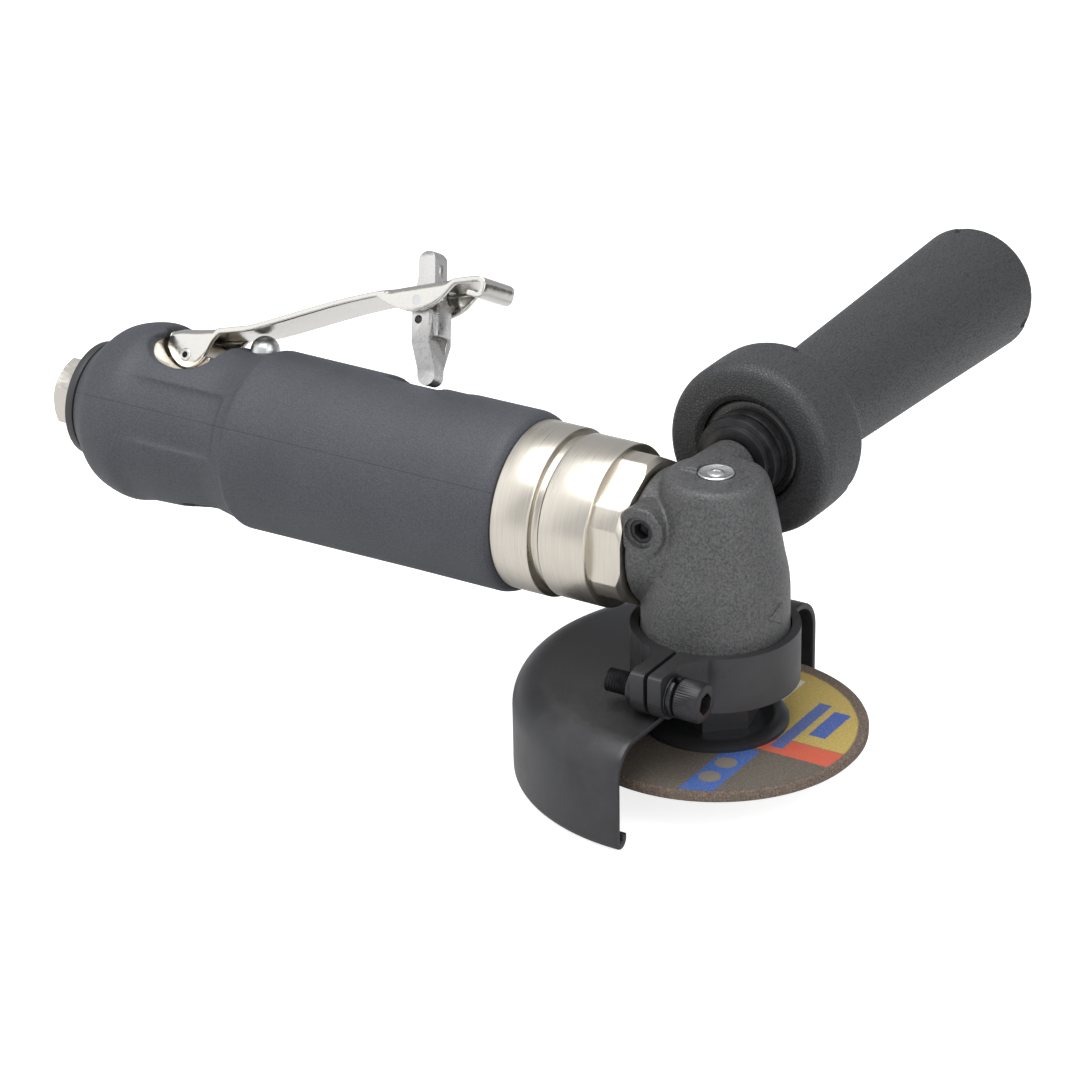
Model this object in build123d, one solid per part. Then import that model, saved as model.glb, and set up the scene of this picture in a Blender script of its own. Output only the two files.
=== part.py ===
from build123d import *
import math
import os

# Pneumatic right-angle cut-off grinder. Millimetres, +Z up. The pieces are drawn about the crossing
# of the motor axis (X) and the spindle axis (Z), and moved as one so that the origin is the centre
# of the air inlet's mouth. The wheel hangs below, the side handle points along +Y.

# Driving dimensions
INLET_REACH = 196.5  # spindle axis to the inlet's mouth
WHEEL_RADIUS = 38.1  # a three-inch wheel
WHEEL_THICK = 3.2
WHEEL_TOP = -46.6
GRIP_RADIUS = 23.2
HOUSING_RADIUS = 20.2  # under the grip
HOUSING_RING_RADIUS = 21.5
HOUSING_NECK_RADIUS = 19.5
POCKET_PAD_RADIUS = 21.0
COLLAR_RADIUS = 20.7
COLLAR_FLATS = 36.3
COLLAR_CORNERS = 19.5
HEAD_RADIUS = 18.2
HEAD_TOP = 19.7
GUARD_RADIUS = 50.1
GUARD_SHEET = 1.6
GUARD_BOTTOM = -60.1
HANDLE_X = -6.0
HANDLE_Z = 13.9
HANDLE_END = 156.9
HANDLE_FRONT = 26.2
ROLL = 28.0  # the motor, grip and lever stand turned this far about X, away from -Y
LEVER_SHEET = 1.6
LEVER_HALF_WIDTH = 7.8
EAR_OUTSIDE = LEVER_HALF_WIDTH + 0.8  # room for the lever's ears beside the valve block
EAR_INSIDE = LEVER_HALF_WIDTH - LEVER_SHEET - 0.3
PIVOT = (-159.0, 16.2)  # throttle lever pin, x and z before the roll
LOCK_PIVOT = (-94.2, 42.9)  # lock-off lever pin, x and z before the roll
LOCK_LEAN = 14.0  # the lock-off lever's top leans this far rearwards
PLUNGER_X = -140.2
PLUNGER_RADIUS = 3.9
PLUNGER_BUSH = 5.6
REGULATOR_X = -147.0
RUNNING_FIT = 0.05  # radial play of a shaft in its bearing
PIN_FIT = 0.08  # radial play of a lever on its pin

# Stations along the motor axis
RING_FRONT = -40.7  # front face of the motor housing's ring
NECK_FRONT = -38.8
RING_BACK = -51.6  # front end of the grip
COLLAR_BACK = -38.3
COLLAR_HEX = -24.8
COLLAR_FRONT = -16.3
PLATE_FRONT = -46.0
CYLINDER_FRONT = -52.0
CYLINDER_BACK = -104.0
PLATE_BACK = -112.0
MOTOR_BORE_END = -113.0
GRIP_REAR = -184.8
HOUSING_REAR = -184.9
CAP_REAR = -187.6
BUSHING_END = -175.0
VALVE_SEAT_BACK = -168.1
VALVE_SEAT_FRONT = -165.0

# Radii inside the motor
MOTOR_BORE = 17.0
CYLINDER_BORE = 12.9
CYLINDER_OFFSET = 1.3  # the bore stands above the rotor's axis
ROTOR_RADIUS = 11.2
ROTOR_SHAFT = 4.0
ROTOR_TAIL = 3.0
BLADES = 5
AIR_BORE = 5.6
INLET_FLATS = 17.5
INLET_THREAD = 5.56
INLET_THREAD_DEPTH = 11.0
BUSHING_THREAD = 8.5

# Bevel gears
MODULE = 1.0
PINION_TEETH = 15
GEAR_TEETH = 21
FACE_WIDTH = 4.5
ADDENDUM = 0.9
DEDENDUM = 1.15
PINION_PITCH = MODULE * PINION_TEETH / 2
GEAR_PITCH = MODULE * GEAR_TEETH / 2
CONE_DISTANCE = math.hypot(PINION_PITCH, GEAR_PITCH)
SMALL_END = (CONE_DISTANCE - FACE_WIDTH) / CONE_DISTANCE

# Stations along the spindle axis
BAND_TOP = -19.9
BAND_BOTTOM = -32.4
BAND_BORE = 18.8
BAND_RADIUS = 21.0
SPIGOT_RADIUS = 18.5
LOWER_BEARING = (-21.0, -13.0, 12.5, 5.0)  # bottom, top, outer radius, bore radius
UPPER_BEARING = (4.0, 10.0, 6.0, 3.0)
FLANGE_RADIUS = 18.4
HUB_TOP = -33.2
WHEEL_BORE = 4.76
CLAMP_Y = -28.4
CLAMP_Z = -26.5


def tube_x(back, front, outer, inner=0.0):
    """A round bar or tube along X."""
    middle = Pos((back + front) / 2, 0, 0) * Rot(0, 90, 0)
    bar = middle * Cylinder(outer, front - back)
    if inner:
        bar -= middle * Cylinder(inner, front - back)
    return bar


def tube_z(bottom, top, outer, inner=0.0):
    """A round bar or tube along Z."""
    bar = Pos(0, 0, (bottom + top) / 2) * Cylinder(outer, top - bottom)
    if inner:
        bar -= Pos(0, 0, (bottom + top) / 2) * Cylinder(inner, top - bottom)
    return bar


def bar_y(left, right, radius):
    """A round bar along Y."""
    return Pos(0, (left + right) / 2, 0) * Rot(90, 0, 0) * Cylinder(radius, right - left)


def block(x0, x1, y0, y1, z0, z1):
    """A box between two corners."""
    return Pos((x0 + x1) / 2, (y0 + y1) / 2, (z0 + z1) / 2) * Box(x1 - x0, y1 - y0, z1 - z0)


def turned_x(outline):
    """A body of revolution about X, from (x, radius) points."""
    return revolve(make_face(Polyline(*[(x, r, 0) for x, r in outline], close=True)), Axis.X)


def turned_y(outline):
    """A body of revolution about Y, from (y, radius) points."""
    return revolve(make_face(Polyline(*[(r, y, 0) for y, r in outline], close=True)), Axis.Y)


def turned_z(outline):
    """A body of revolution about Z, from (radius, z) points."""
    return revolve(make_face(Polyline(*[(r, 0, z) for r, z in outline], close=True)), Axis.Z)


def side_shape(outline, half_width):
    """A flat outline in the XZ plane, thickened equally to both sides of y = 0."""
    face = make_face(Polyline(*[(x, 0, z) for x, z in outline], close=True))
    return extrude(face, amount=half_width, dir=(0, 1, 0), both=True)


def lever_pocket():
    """The scoop across the body that the throttle lever's ears sit in."""
    return side_shape([
        (-165.5, 19.5), (-166.2, 17.6), (-164.2, 15.4), (-161.2, 13.4), (-156.8, 12.1), (-153.3, 12.1),
        (-149.4, 12.8), (-147.4, 14.4), (-146.4, 16.7), (-146.0, 20.0), (-146.0, 40), (-164.5, 40),
        (-163.0, 22.0),
    ], 30.0)


def pocket_pad():
    """The raised part of the housing, under a thin skin of the sleeve, that the pocket is cut in."""
    return tube_x(-168.0, -144.0, POCKET_PAD_RADIUS) & block(-168.0, -144.0, -30, 30, 8.0, 30)


def motor_housing():
    """Steel body: front ring, motor bore, valve block that the lever straddles, inlet end."""
    shell = turned_x([
        (RING_FRONT, 0), (RING_FRONT, HOUSING_RING_RADIUS), (RING_BACK, HOUSING_RING_RADIUS),
        (RING_BACK, HOUSING_RADIUS), (-122, HOUSING_RADIUS), (-128, 15.4), (HOUSING_REAR, 15.0),
        (HOUSING_REAR, 0),
    ])
    valve_block = block(-165.5, -147.5, -11.0, 11.0, 5, 12.1)
    valve_block += block(-165.0, -152.5, -EAR_INSIDE, EAR_INSIDE, 8, 17)
    valve_block += Pos(PIVOT[0], 0, PIVOT[1]) * bar_y(-EAR_INSIDE, EAR_INSIDE, 4.6)
    plunger_boss = Pos(PLUNGER_X, 0, 0) * tube_z(5, 17.5, 7.0)
    pad = pocket_pad() - lever_pocket() - block(-166.6, -146.0, -EAR_OUTSIDE, EAR_OUTSIDE, 12.1, 40)
    pad -= Pos(PLUNGER_X, 0, 0) * tube_z(17.5, 40, PLUNGER_RADIUS + 0.4)
    body = shell + pad + valve_block + plunger_boss + tube_x(RING_FRONT, NECK_FRONT, HOUSING_NECK_RADIUS)
    body -= tube_x(MOTOR_BORE_END, NECK_FRONT, MOTOR_BORE)
    body -= tube_x(VALVE_SEAT_FRONT, MOTOR_BORE_END, AIR_BORE)
    body -= tube_x(BUSHING_END, VALVE_SEAT_FRONT, 7.0)
    body -= tube_x(-178.0, BUSHING_END, BUSHING_THREAD)
    body -= tube_x(HOUSING_REAR, -178.0, 13.1)
    body -= block(-166.6, -147.5, -EAR_OUTSIDE, -EAR_INSIDE, 12.1, 17.5)
    body -= block(-166.6, -147.5, EAR_INSIDE, EAR_OUTSIDE, 12.1, 17.5)
    body -= Pos(PIVOT[0], 0, PIVOT[1]) * bar_y(-EAR_INSIDE - 1, EAR_INSIDE + 1, 1.6)
    body -= Pos(PLUNGER_X, 0, 0) * tube_z(0, 9.0, PLUNGER_RADIUS + RUNNING_FIT)
    body -= Pos(PLUNGER_X, 0, 0) * tube_z(9.0, 17.5, PLUNGER_BUSH)
    body -= Pos(REGULATOR_X, 0, 0) * tube_z(-16, 0, 3.0 + PIN_FIT)
    return body


def grip_sleeve():
    """Moulded sleeve over the housing, with a bulbed rear end and an opening for the lever."""
    outer = turned_x([
        (RING_BACK, 0), (RING_BACK, 20.6), (RING_BACK - 1.0, 22.3), (RING_BACK - 3.0, GRIP_RADIUS),
        (-80.0, GRIP_RADIUS), (-120.0, GRIP_RADIUS + 0.3), (-131.6, GRIP_RADIUS + 0.4), (-132.8, 23.0),
        (-135.6, 22.0), (-140.0, 21.3), (-146.0, 21.7), (-154.0, 22.4), (-163.0, 22.8), (-169.0, 23.8),
        (-173.0, 23.2), (-177.5, 21.6), (-181.2, 18.6), (-183.7, 16.2), (GRIP_REAR, 15.6), (GRIP_REAR, 0),
    ])
    sleeve = outer - lever_pocket() - pocket_pad()
    sleeve -= turned_x([
        (RING_BACK + 1, 0), (RING_BACK + 1, HOUSING_RADIUS), (-122, HOUSING_RADIUS), (-128, 15.4),
        (GRIP_REAR - 1, 15.0), (GRIP_REAR - 1, 0),
    ])
    sleeve -= block(-165.5, -147.5, -11.0, 11.0, 5, 12.1)
    sleeve -= block(-166.6, -146.0, -EAR_OUTSIDE, EAR_OUTSIDE, 12.1, 40)
    sleeve -= Pos(PLUNGER_X, 0, 0) * tube_z(5, 17.5, 7.0)
    sleeve -= Pos(PLUNGER_X, 0, 0) * tube_z(5, 40, PLUNGER_RADIUS + 0.4)
    for offset in (-3.0, 3.0):
        sleeve -= Pos(REGULATOR_X + 1.5 + offset, 0, 0) * tube_z(-40, -15, 5.0)
    sleeve -= block(REGULATOR_X - 1.5, REGULATOR_X + 4.5, -5.0, 5.0, -40, -15)
    sleeve -= block(-99.0, -82.0, -12, 12, 22.0, 30)
    # The lock-off's foot swings here.
    sleeve -= block(LOCK_PIVOT[0], -70.0, -3.4, 3.4, HOUSING_RADIUS + 0.4, 30)
    return sleeve


def rear_cap():
    """Dark ring screwed into the rear of the housing round the inlet bushing."""
    ring = tube_x(CAP_REAR, HOUSING_REAR, 15.4, BUSHING_THREAD)
    spigot = tube_x(HOUSING_REAR, -182.0, 13.1, BUSHING_THREAD)
    return ring + spigot


def muffler():
    """Felt ring behind the cap."""
    return tube_x(-182.0, -178.0, 13.1, BUSHING_THREAD)


def inlet_bushing():
    """Hex bushing with a taper-thread mouth for the air fitting."""
    outline = RegularPolygon(INLET_FLATS / 2, 6, major_radius=False)
    hexagon = extrude(Plane.YZ.offset(-INLET_REACH) * outline, amount=INLET_REACH + CAP_REAR)
    body = hexagon + tube_x(CAP_REAR, BUSHING_END, BUSHING_THREAD)
    thread_end = -INLET_REACH + INLET_THREAD_DEPTH
    body -= tube_x(-INLET_REACH, thread_end, INLET_THREAD)
    body -= tube_x(thread_end, -178.0, 5.0)
    body -= tube_x(-178.0, BUSHING_END, 3.5)
    return body


def inlet_strainer():
    """Cup-shaped screen in the bushing."""
    return tube_x(-185.3, -178.0, 4.95) - tube_x(-185.3, -178.6, 4.4)


def valve_parts():
    """Seat, spring sleeve, tilting valve and the plunger that tips it."""
    dome_top = 25.9
    seat = tube_x(VALVE_SEAT_BACK, VALVE_SEAT_FRONT, 7.0, 3.2)
    spring = tube_x(BUSHING_END, -172.1, 3.9, 3.3)
    disc = tube_x(-170.4, VALVE_SEAT_BACK - 0.1, 4.6)
    stem = tube_x(VALVE_SEAT_BACK - 0.1, PLUNGER_X + 1.7, 1.2)
    plunger = tube_z(6.5, dome_top - PLUNGER_RADIUS, PLUNGER_RADIUS) + tube_z(1.55, 6.5, 1.5)
    plunger += Pos(0, 0, dome_top - PLUNGER_RADIUS) * Sphere(PLUNGER_RADIUS)
    bushing = tube_z(10.5, 17.5, PLUNGER_BUSH, PLUNGER_RADIUS + RUNNING_FIT)
    seal = tube_z(9.0, 10.5, PLUNGER_BUSH, PLUNGER_RADIUS + RUNNING_FIT)
    return {
        "tip_valve_seat": seat,
        "valve_spring": spring,
        "tip_valve": disc + stem,
        "valve_plunger": Pos(PLUNGER_X, 0, 0) * plunger,
        "plunger_bushing": Pos(PLUNGER_X, 0, 0) * bushing,
        "plunger_seal": Pos(PLUNGER_X, 0, 0) * seal,
    }


def speed_regulator():
    """Slotted screw under the grip that throttles the air."""
    screw = tube_z(-18.6, -15.8, 4.4) + tube_z(-15.8, -8.0, 3.0)
    screw -= block(-4.5, 4.5, -0.6, 0.6, -18.7, -17.2)
    return Pos(REGULATOR_X, 0, 0) * screw


def lever_pin():
    """Rolled spring pin that the throttle lever turns on."""
    half = LEVER_HALF_WIDTH + 0.3
    return Pos(PIVOT[0], 0, PIVOT[1]) * (bar_y(-half, half, 1.6) - bar_y(-half, half, 0.8))


def throttle_lever():
    """Stamped lever: a plate with ears bent down at both pins and a turned-down tip."""
    top = [
        (-165.0, 21.6), (-161.5, 22.8), (-150.5, 25.0), (-141.4, 27.5), (-133.0, 31.4), (-124.7, 35.3),
        (-116.5, 39.1), (-108.2, 42.3), (-99.9, 45.3), (-91.0, 48.3), (-83.3, 50.8), (-79.5, 51.9),
        (-77.8, 52.2), (-76.4, 51.7), (-75.8, 50.4), (-75.8, 48.0), (-76.3, 47.1), (-77.4, 46.7),
        (-80.5, 46.7),
    ]
    underside = [
        (-80.5, 48.0), (-77.9, 48.1), (-77.3, 48.8), (-77.4, 49.9), (-78.3, 50.5), (-79.9, 50.3),
        (-83.8, 49.2), (-91.5, 46.8), (-100.4, 43.8), (-108.8, 40.8), (-117.1, 37.6), (-125.4, 33.8),
        (-133.7, 29.9), (-141.9, 26.0), (-150.2, 23.4), (-161.2, 21.2), (-165.0, 20.0),
    ]
    pivot_ear = [
        (-165.0, 20.6), (-164.9, 18.0), (-163.3, 14.6), (-159.8, 12.8), (-156.2, 13.4), (-153.6, 16.2),
        (-152.3, 20.6), (-149.8, 23.6), (-150.5, 24.6), (-161.3, 22.6),
    ]
    lock_ear = [
        (-105.9, 42.0), (-100.4, 40.2), (-96.4, 39.6), (-92.2, 40.6), (-88.4, 43.4), (-84.5, 49.0),
    ]
    lever = side_shape(top + underside, LEVER_HALF_WIDTH)
    between = LEVER_HALF_WIDTH - LEVER_SHEET
    for ear in (pivot_ear, lock_ear):
        shape = side_shape(ear, LEVER_HALF_WIDTH)
        lever += shape - side_shape(ear, between)
    slot = Pos(LOCK_PIVOT[0], 0, LOCK_PIVOT[1]) * block(-11.4, 4.2, -3.6, 3.6, -4, 12)
    lever -= slot
    lever -= Pos(PIVOT[0], 0, PIVOT[1]) * bar_y(-LEVER_HALF_WIDTH - 1, LEVER_HALF_WIDTH + 1, 1.6 + PIN_FIT)
    lever -= Pos(LOCK_PIVOT[0], 0, LOCK_PIVOT[1]) * bar_y(-LEVER_HALF_WIDTH, LEVER_HALF_WIDTH, 1.2)
    return lever


def lock_off_parts():
    """Lock-off lever that props the throttle up, its pin and its torsion spring."""
    shoulder, waist, tip, tab_top, half = -10.3, -16.8, -21.0, 13.6, 2.5
    pin = bar_y(-LEVER_HALF_WIDTH, LEVER_HALF_WIDTH, 1.2)
    spring = bar_y(3.4, 6.0, 1.75) - bar_y(3.4, 6.0, 1.2)
    leg = block(-half, half, -5.7, 5.7, shoulder, -2.1)
    taper = loft([Pos(0, 0, waist) * Rectangle(5, 4.8), Pos(0, 0, shoulder) * Rectangle(5, 11.4)])
    foot = block(-half, half, -2.4, 2.4, tip + half, waist)
    foot += Pos(0, 0, tip + half) * bar_y(-2.4, 2.4, half)
    tab = block(-half, half, -3.1, 3.1, -2.1, tab_top - half) + bar_y(-3.1, 3.1, 2.9)
    tab += Pos(0, 0, tab_top - half) * bar_y(-3.1, 3.1, half)
    lever = leg + taper + foot + tab - bar_y(-6, 6, 1.2 + PIN_FIT)
    place = Pos(LOCK_PIVOT[0], 0, LOCK_PIVOT[1]) * Rot(0, -LOCK_LEAN, 0)
    return {"lock_off_lever": place * lever, "lock_off_pin": place * pin, "lock_off_spring": place * spring}


def motor_parts():
    """Vane motor: cylinder, end plates, bearings, rotor and blades."""
    middle = (CYLINDER_BACK + CYLINDER_FRONT) / 2
    cylinder = tube_x(CYLINDER_BACK, CYLINDER_FRONT, MOTOR_BORE)
    cylinder -= Pos(0, 0, CYLINDER_OFFSET) * tube_x(CYLINDER_BACK, CYLINDER_FRONT, CYLINDER_BORE)
    for step in range(-2, 3):
        cylinder -= Pos(middle + 7 * step, 0, 15) * Cylinder(1.5, 12)
    front_plate = tube_x(CYLINDER_FRONT, PLATE_FRONT, MOTOR_BORE, 4.6) - tube_x(-51.0, PLATE_FRONT, 9.5)
    rear_plate = tube_x(PLATE_BACK, CYLINDER_BACK, MOTOR_BORE, 3.6) - tube_x(PLATE_BACK, -106.0, 8.0)
    rear_plate += tube_x(MOTOR_BORE_END, PLATE_BACK, MOTOR_BORE, 10.0)
    rotor = tube_x(CYLINDER_BACK + 0.3, CYLINDER_FRONT - 0.3, ROTOR_RADIUS)
    rotor += tube_x(-111.5, CYLINDER_BACK + 0.3, ROTOR_TAIL - RUNNING_FIT)
    rotor += tube_x(CYLINDER_FRONT - 0.3, -40.0, ROTOR_SHAFT - RUNNING_FIT)
    rotor += tube_x(-40.0, -34.0, 2.5)
    blades = []
    for index in range(BLADES):
        turn = Rot(360 / BLADES * index, 0, 0)
        rotor -= turn * block(CYLINDER_BACK, CYLINDER_FRONT, -0.8, 0.8, 5.0, ROTOR_RADIUS + 1)
        blades.append(turn * block(CYLINDER_BACK + 0.4, CYLINDER_FRONT - 0.4, -0.75, 0.75, 5.1, 11.1))
    return {
        "cylinder": cylinder,
        "front_bearing_plate": front_plate,
        "rear_bearing_plate": rear_plate,
        "front_bearing": tube_x(-51.0, PLATE_FRONT, 9.5, ROTOR_SHAFT),
        "rear_bearing": tube_x(PLATE_BACK, -106.0, 8.0, ROTOR_TAIL),
        "rotor": rotor,
        "rotor_blades": Compound(children=[blade.solid() for blade in blades]),
    }


def collar_nut():
    """Nickel coupling nut with wrench flats that draws the head onto the motor."""
    body = tube_x(COLLAR_BACK, COLLAR_HEX, COLLAR_RADIUS) + tube_x(PLATE_FRONT, COLLAR_BACK, MOTOR_BORE)
    hexagon = RegularPolygon(COLLAR_FLATS / 2, 6, major_radius=False, rotation=30)
    flats = extrude(Plane.YZ.offset(COLLAR_HEX) * hexagon, amount=COLLAR_FRONT - COLLAR_HEX)
    body += flats & tube_x(COLLAR_HEX, COLLAR_FRONT, COLLAR_CORNERS)
    return body - tube_x(PLATE_FRONT, COLLAR_FRONT, 14.5)


def head_housing():
    """Cast angle head: bell round the spindle, neck to the motor, bosses for handle and screw."""
    bell = turned_z([
        (0, HEAD_TOP), (10.6, HEAD_TOP), (12.2, 19.1), (13.1, 17.6), (14.9, 10.2), (16.7, 0), (17.8, -5),
        (HEAD_RADIUS, -8), (HEAD_RADIUS, BAND_TOP - 0.1), (SPIGOT_RADIUS, BAND_TOP - 0.1),
        (SPIGOT_RADIUS, -33.0), (0, -33.0),
    ])
    neck = tube_x(-15.8, 0, 17.0)
    body = bell + neck + tube_x(-38.0, -15.8, 14.5)
    body += Pos(HANDLE_X, 0, HANDLE_Z) * bar_y(0, 19.0, 6.7)
    body += Pos(-11.6, 0, 8.0) * bar_y(-17.0, -6.0, 6.4)
    body -= tube_x(-30.0, -15.9, 20.9, 14.5)
    bottom, top, outer, _ = LOWER_BEARING
    body -= tube_z(-34.0, bottom, 14.0)
    body -= tube_z(bottom, top, outer)
    body -= tube_z(top, -2.0, 11.9)
    body -= tube_z(-2.0, UPPER_BEARING[0], 5.4)
    body -= tube_z(UPPER_BEARING[0], UPPER_BEARING[1], UPPER_BEARING[2])
    body -= tube_z(UPPER_BEARING[1], 13.0, 1.5)
    body -= tube_z(13.0, HEAD_TOP + 1, 3.0)
    body -= tube_z(HEAD_TOP, HEAD_TOP + 1, 5.0)
    body -= tube_x(-15.0, 0, 8.9)
    body -= tube_x(-38.0, -15.0, 11.0)
    body -= Pos(HANDLE_X, 0, HANDLE_Z) * bar_y(8.0, 19.0, 4.9)
    body -= Pos(-11.6, 0, 8.0) * bar_y(-17.0, -9.0, 3.0)
    return body


def head_fittings():
    """Bearings, spacer, retainer, seal, grease fitting and set screw of the head."""
    bottom, top, outer, bore = LOWER_BEARING
    low, high, upper_outer, upper_bore = UPPER_BEARING
    grease = tube_z(13.0, HEAD_TOP, 3.0, 1.0) + tube_z(HEAD_TOP, HEAD_TOP + 0.5, 4.5, 1.0)
    screw = bar_y(-15.8, -9.0, 3.0)
    socket = Rot(90, 0, 0) * extrude(RegularPolygon(1.5, 6, major_radius=False), amount=3.0)
    screw -= Pos(0, -12.8, 0) * socket
    return {
        "pinion_bearing": tube_x(-22.0, -15.0, 11.0, 4.5),
        "bearing_spacer": tube_x(-38.0, -22.0, 11.0, 7.0),
        "lower_spindle_bearing": tube_z(bottom, top, outer, bore),
        "upper_spindle_bearing": tube_z(low, high, upper_outer, upper_bore),
        "bearing_retainer": tube_z(-24.5, bottom, 14.0, 8.0),
        "spindle_seal": tube_z(-24.5, bottom, 8.0, bore + 0.2),
        "grease_fitting": grease,
        "set_screw": Pos(-11.6, 0, 8.0) * screw,
        "collar_seal": tube_x(NECK_FRONT, COLLAR_BACK, HOUSING_NECK_RADIUS, MOTOR_BORE),
    }


def bevel_teeth(count, own_pitch, other_pitch, first_angle):
    """Straight bevel teeth about +Z with the cone's apex at the origin, opening downwards."""
    along = Vector(own_pitch, 0, -other_pitch) / CONE_DISTANCE
    outward = Vector(other_pitch, 0, own_pitch) / CONE_DISTANCE
    heights = (-DEDENDUM - 0.1, 0.0, ADDENDUM)
    halves = (0.98, 0.64, 0.34)
    ends = []
    for share in (SMALL_END, 1.0):
        base = along * (CONE_DISTANCE * share)
        near = [base + outward * (h * share) + Vector(0, w * share, 0) for h, w in zip(heights, halves)]
        far = [Vector(p.X, -p.Y, p.Z) for p in reversed(near)]
        ends.append(make_face(Polyline(*near, *far, close=True)))
    tooth = loft(ends, ruled=True)
    return [Rot(0, 0, first_angle + 360 / count * index) * tooth for index in range(count)]


def bevel_blank(own_pitch, other_pitch, back, bore_to):
    """The gear's body below its teeth, in the same place as bevel_teeth."""
    root_r = (own_pitch * CONE_DISTANCE - DEDENDUM * other_pitch) / CONE_DISTANCE
    root_z = -(other_pitch * CONE_DISTANCE + DEDENDUM * own_pitch) / CONE_DISTANCE
    return turned_z([
        (bore_to, root_z * SMALL_END), (root_r * SMALL_END, root_z * SMALL_END), (root_r, root_z),
        (root_r, back), (bore_to, back),
    ])


def spindle_parts():
    """Spindle with its gear, flanges, wheel and clamping screw: all turn together."""
    bearing_bore = LOWER_BEARING[3]
    journal = bearing_bore - RUNNING_FIT
    wheel_bottom = WHEEL_TOP - WHEEL_THICK
    spindle = tube_z(-4.0, 9.5, UPPER_BEARING[3] - RUNNING_FIT) + tube_z(-12.7, -4.0, 4.0)
    spindle += tube_z(WHEEL_TOP, -12.7, journal) + tube_z(wheel_bottom + 0.4, WHEEL_TOP, WHEEL_BORE)
    spindle -= tube_z(wheel_bottom, -38.0, 3.0)
    gear = bevel_blank(GEAR_PITCH, PINION_PITCH, -12.6, 4.0)
    for tooth in bevel_teeth(GEAR_TEETH, GEAR_PITCH, PINION_PITCH, 180 + 180 / GEAR_TEETH):
        gear += tooth
    hub = extrude(RegularPolygon(10.0, 6, major_radius=False), amount=HUB_TOP - WHEEL_TOP - 2.0)
    flange = turned_z([(0, WHEEL_TOP), (FLANGE_RADIUS, WHEEL_TOP), (FLANGE_RADIUS, WHEEL_TOP + 1.0),
                       (FLANGE_RADIUS - 1.2, WHEEL_TOP + 2.0), (0, WHEEL_TOP + 2.0)])
    flange = flange + Pos(0, 0, WHEEL_TOP + 2.0) * hub - tube_z(WHEEL_TOP, HUB_TOP, journal)
    screw = tube_z(-55.8, -52.8, 6.0) + tube_z(-52.8, -38.0, 3.0)
    screw -= Pos(0, 0, -55.8) * extrude(RegularPolygon(2.0, 6, major_radius=False), amount=2.0)
    return {
        "spindle": spindle,
        "bevel_gear": gear,
        "inner_flange": flange,
        "cutoff_wheel": tube_z(wheel_bottom, WHEEL_TOP, WHEEL_RADIUS, WHEEL_BORE),
        "outer_flange": tube_z(-52.8, wheel_bottom, 14.0, 3.0),
        "wheel_screw": screw,
    }


def bevel_pinion():
    """Pinion and its shaft, driven by the rotor."""
    pinion = bevel_blank(PINION_PITCH, GEAR_PITCH, -13.2, 0.0)
    for tooth in bevel_teeth(PINION_TEETH, PINION_PITCH, GEAR_PITCH, 0):
        pinion += tooth
    shaft = tube_z(-40.0, -13.2, 4.5 - RUNNING_FIT)
    # Turned from the spindle's way onto the motor's: down becomes backwards, +X becomes down.
    placed = Rot(0, 90, 0) * (pinion + shaft)
    return placed - tube_x(-40.0, -34.0, 2.5)


def side_handle_parts():
    """Side handle with its flange, threaded stud and rubber damper."""
    face = HANDLE_FRONT
    grip = turned_y([
        (face + 9, 0), (face + 9, 13.5), (face + 1.0, 13.5), (face, 15.0), (face, 20.5), (face + 2.0, 22.4),
        (face + 4.5, 22.9), (face + 15.5, 22.9), (face + 18.0, 22.2), (face + 21.0, 19.6),
        (face + 23.5, 16.4), (face + 27.0, 14.6), (62.0, 14.4), (100.0, 15.7), (151.0, 17.6),
        (154.6, 16.6), (156.4, 14.0), (HANDLE_END, 10.5), (HANDLE_END, 0),
    ])
    grip -= bar_y(face + 9, 66.0, 4.9)
    place = Pos(HANDLE_X, 0, HANDLE_Z)
    damper = bar_y(face + 1.5, face + 9, 13.4) - bar_y(face + 1.5, face + 9, 4.9)
    washers = bar_y(19.0, 21.0, 9.0) + bar_y(21.0, face + 1.5, 11.0) - bar_y(19.0, face + 1.5, 4.9)
    return {
        "side_handle_grip": place * grip,
        "side_handle_stud": place * bar_y(8.4, 65.6, 4.9),
        "side_handle_damper": place * damper,
        "side_handle_washers": place * washers,
    }


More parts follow.
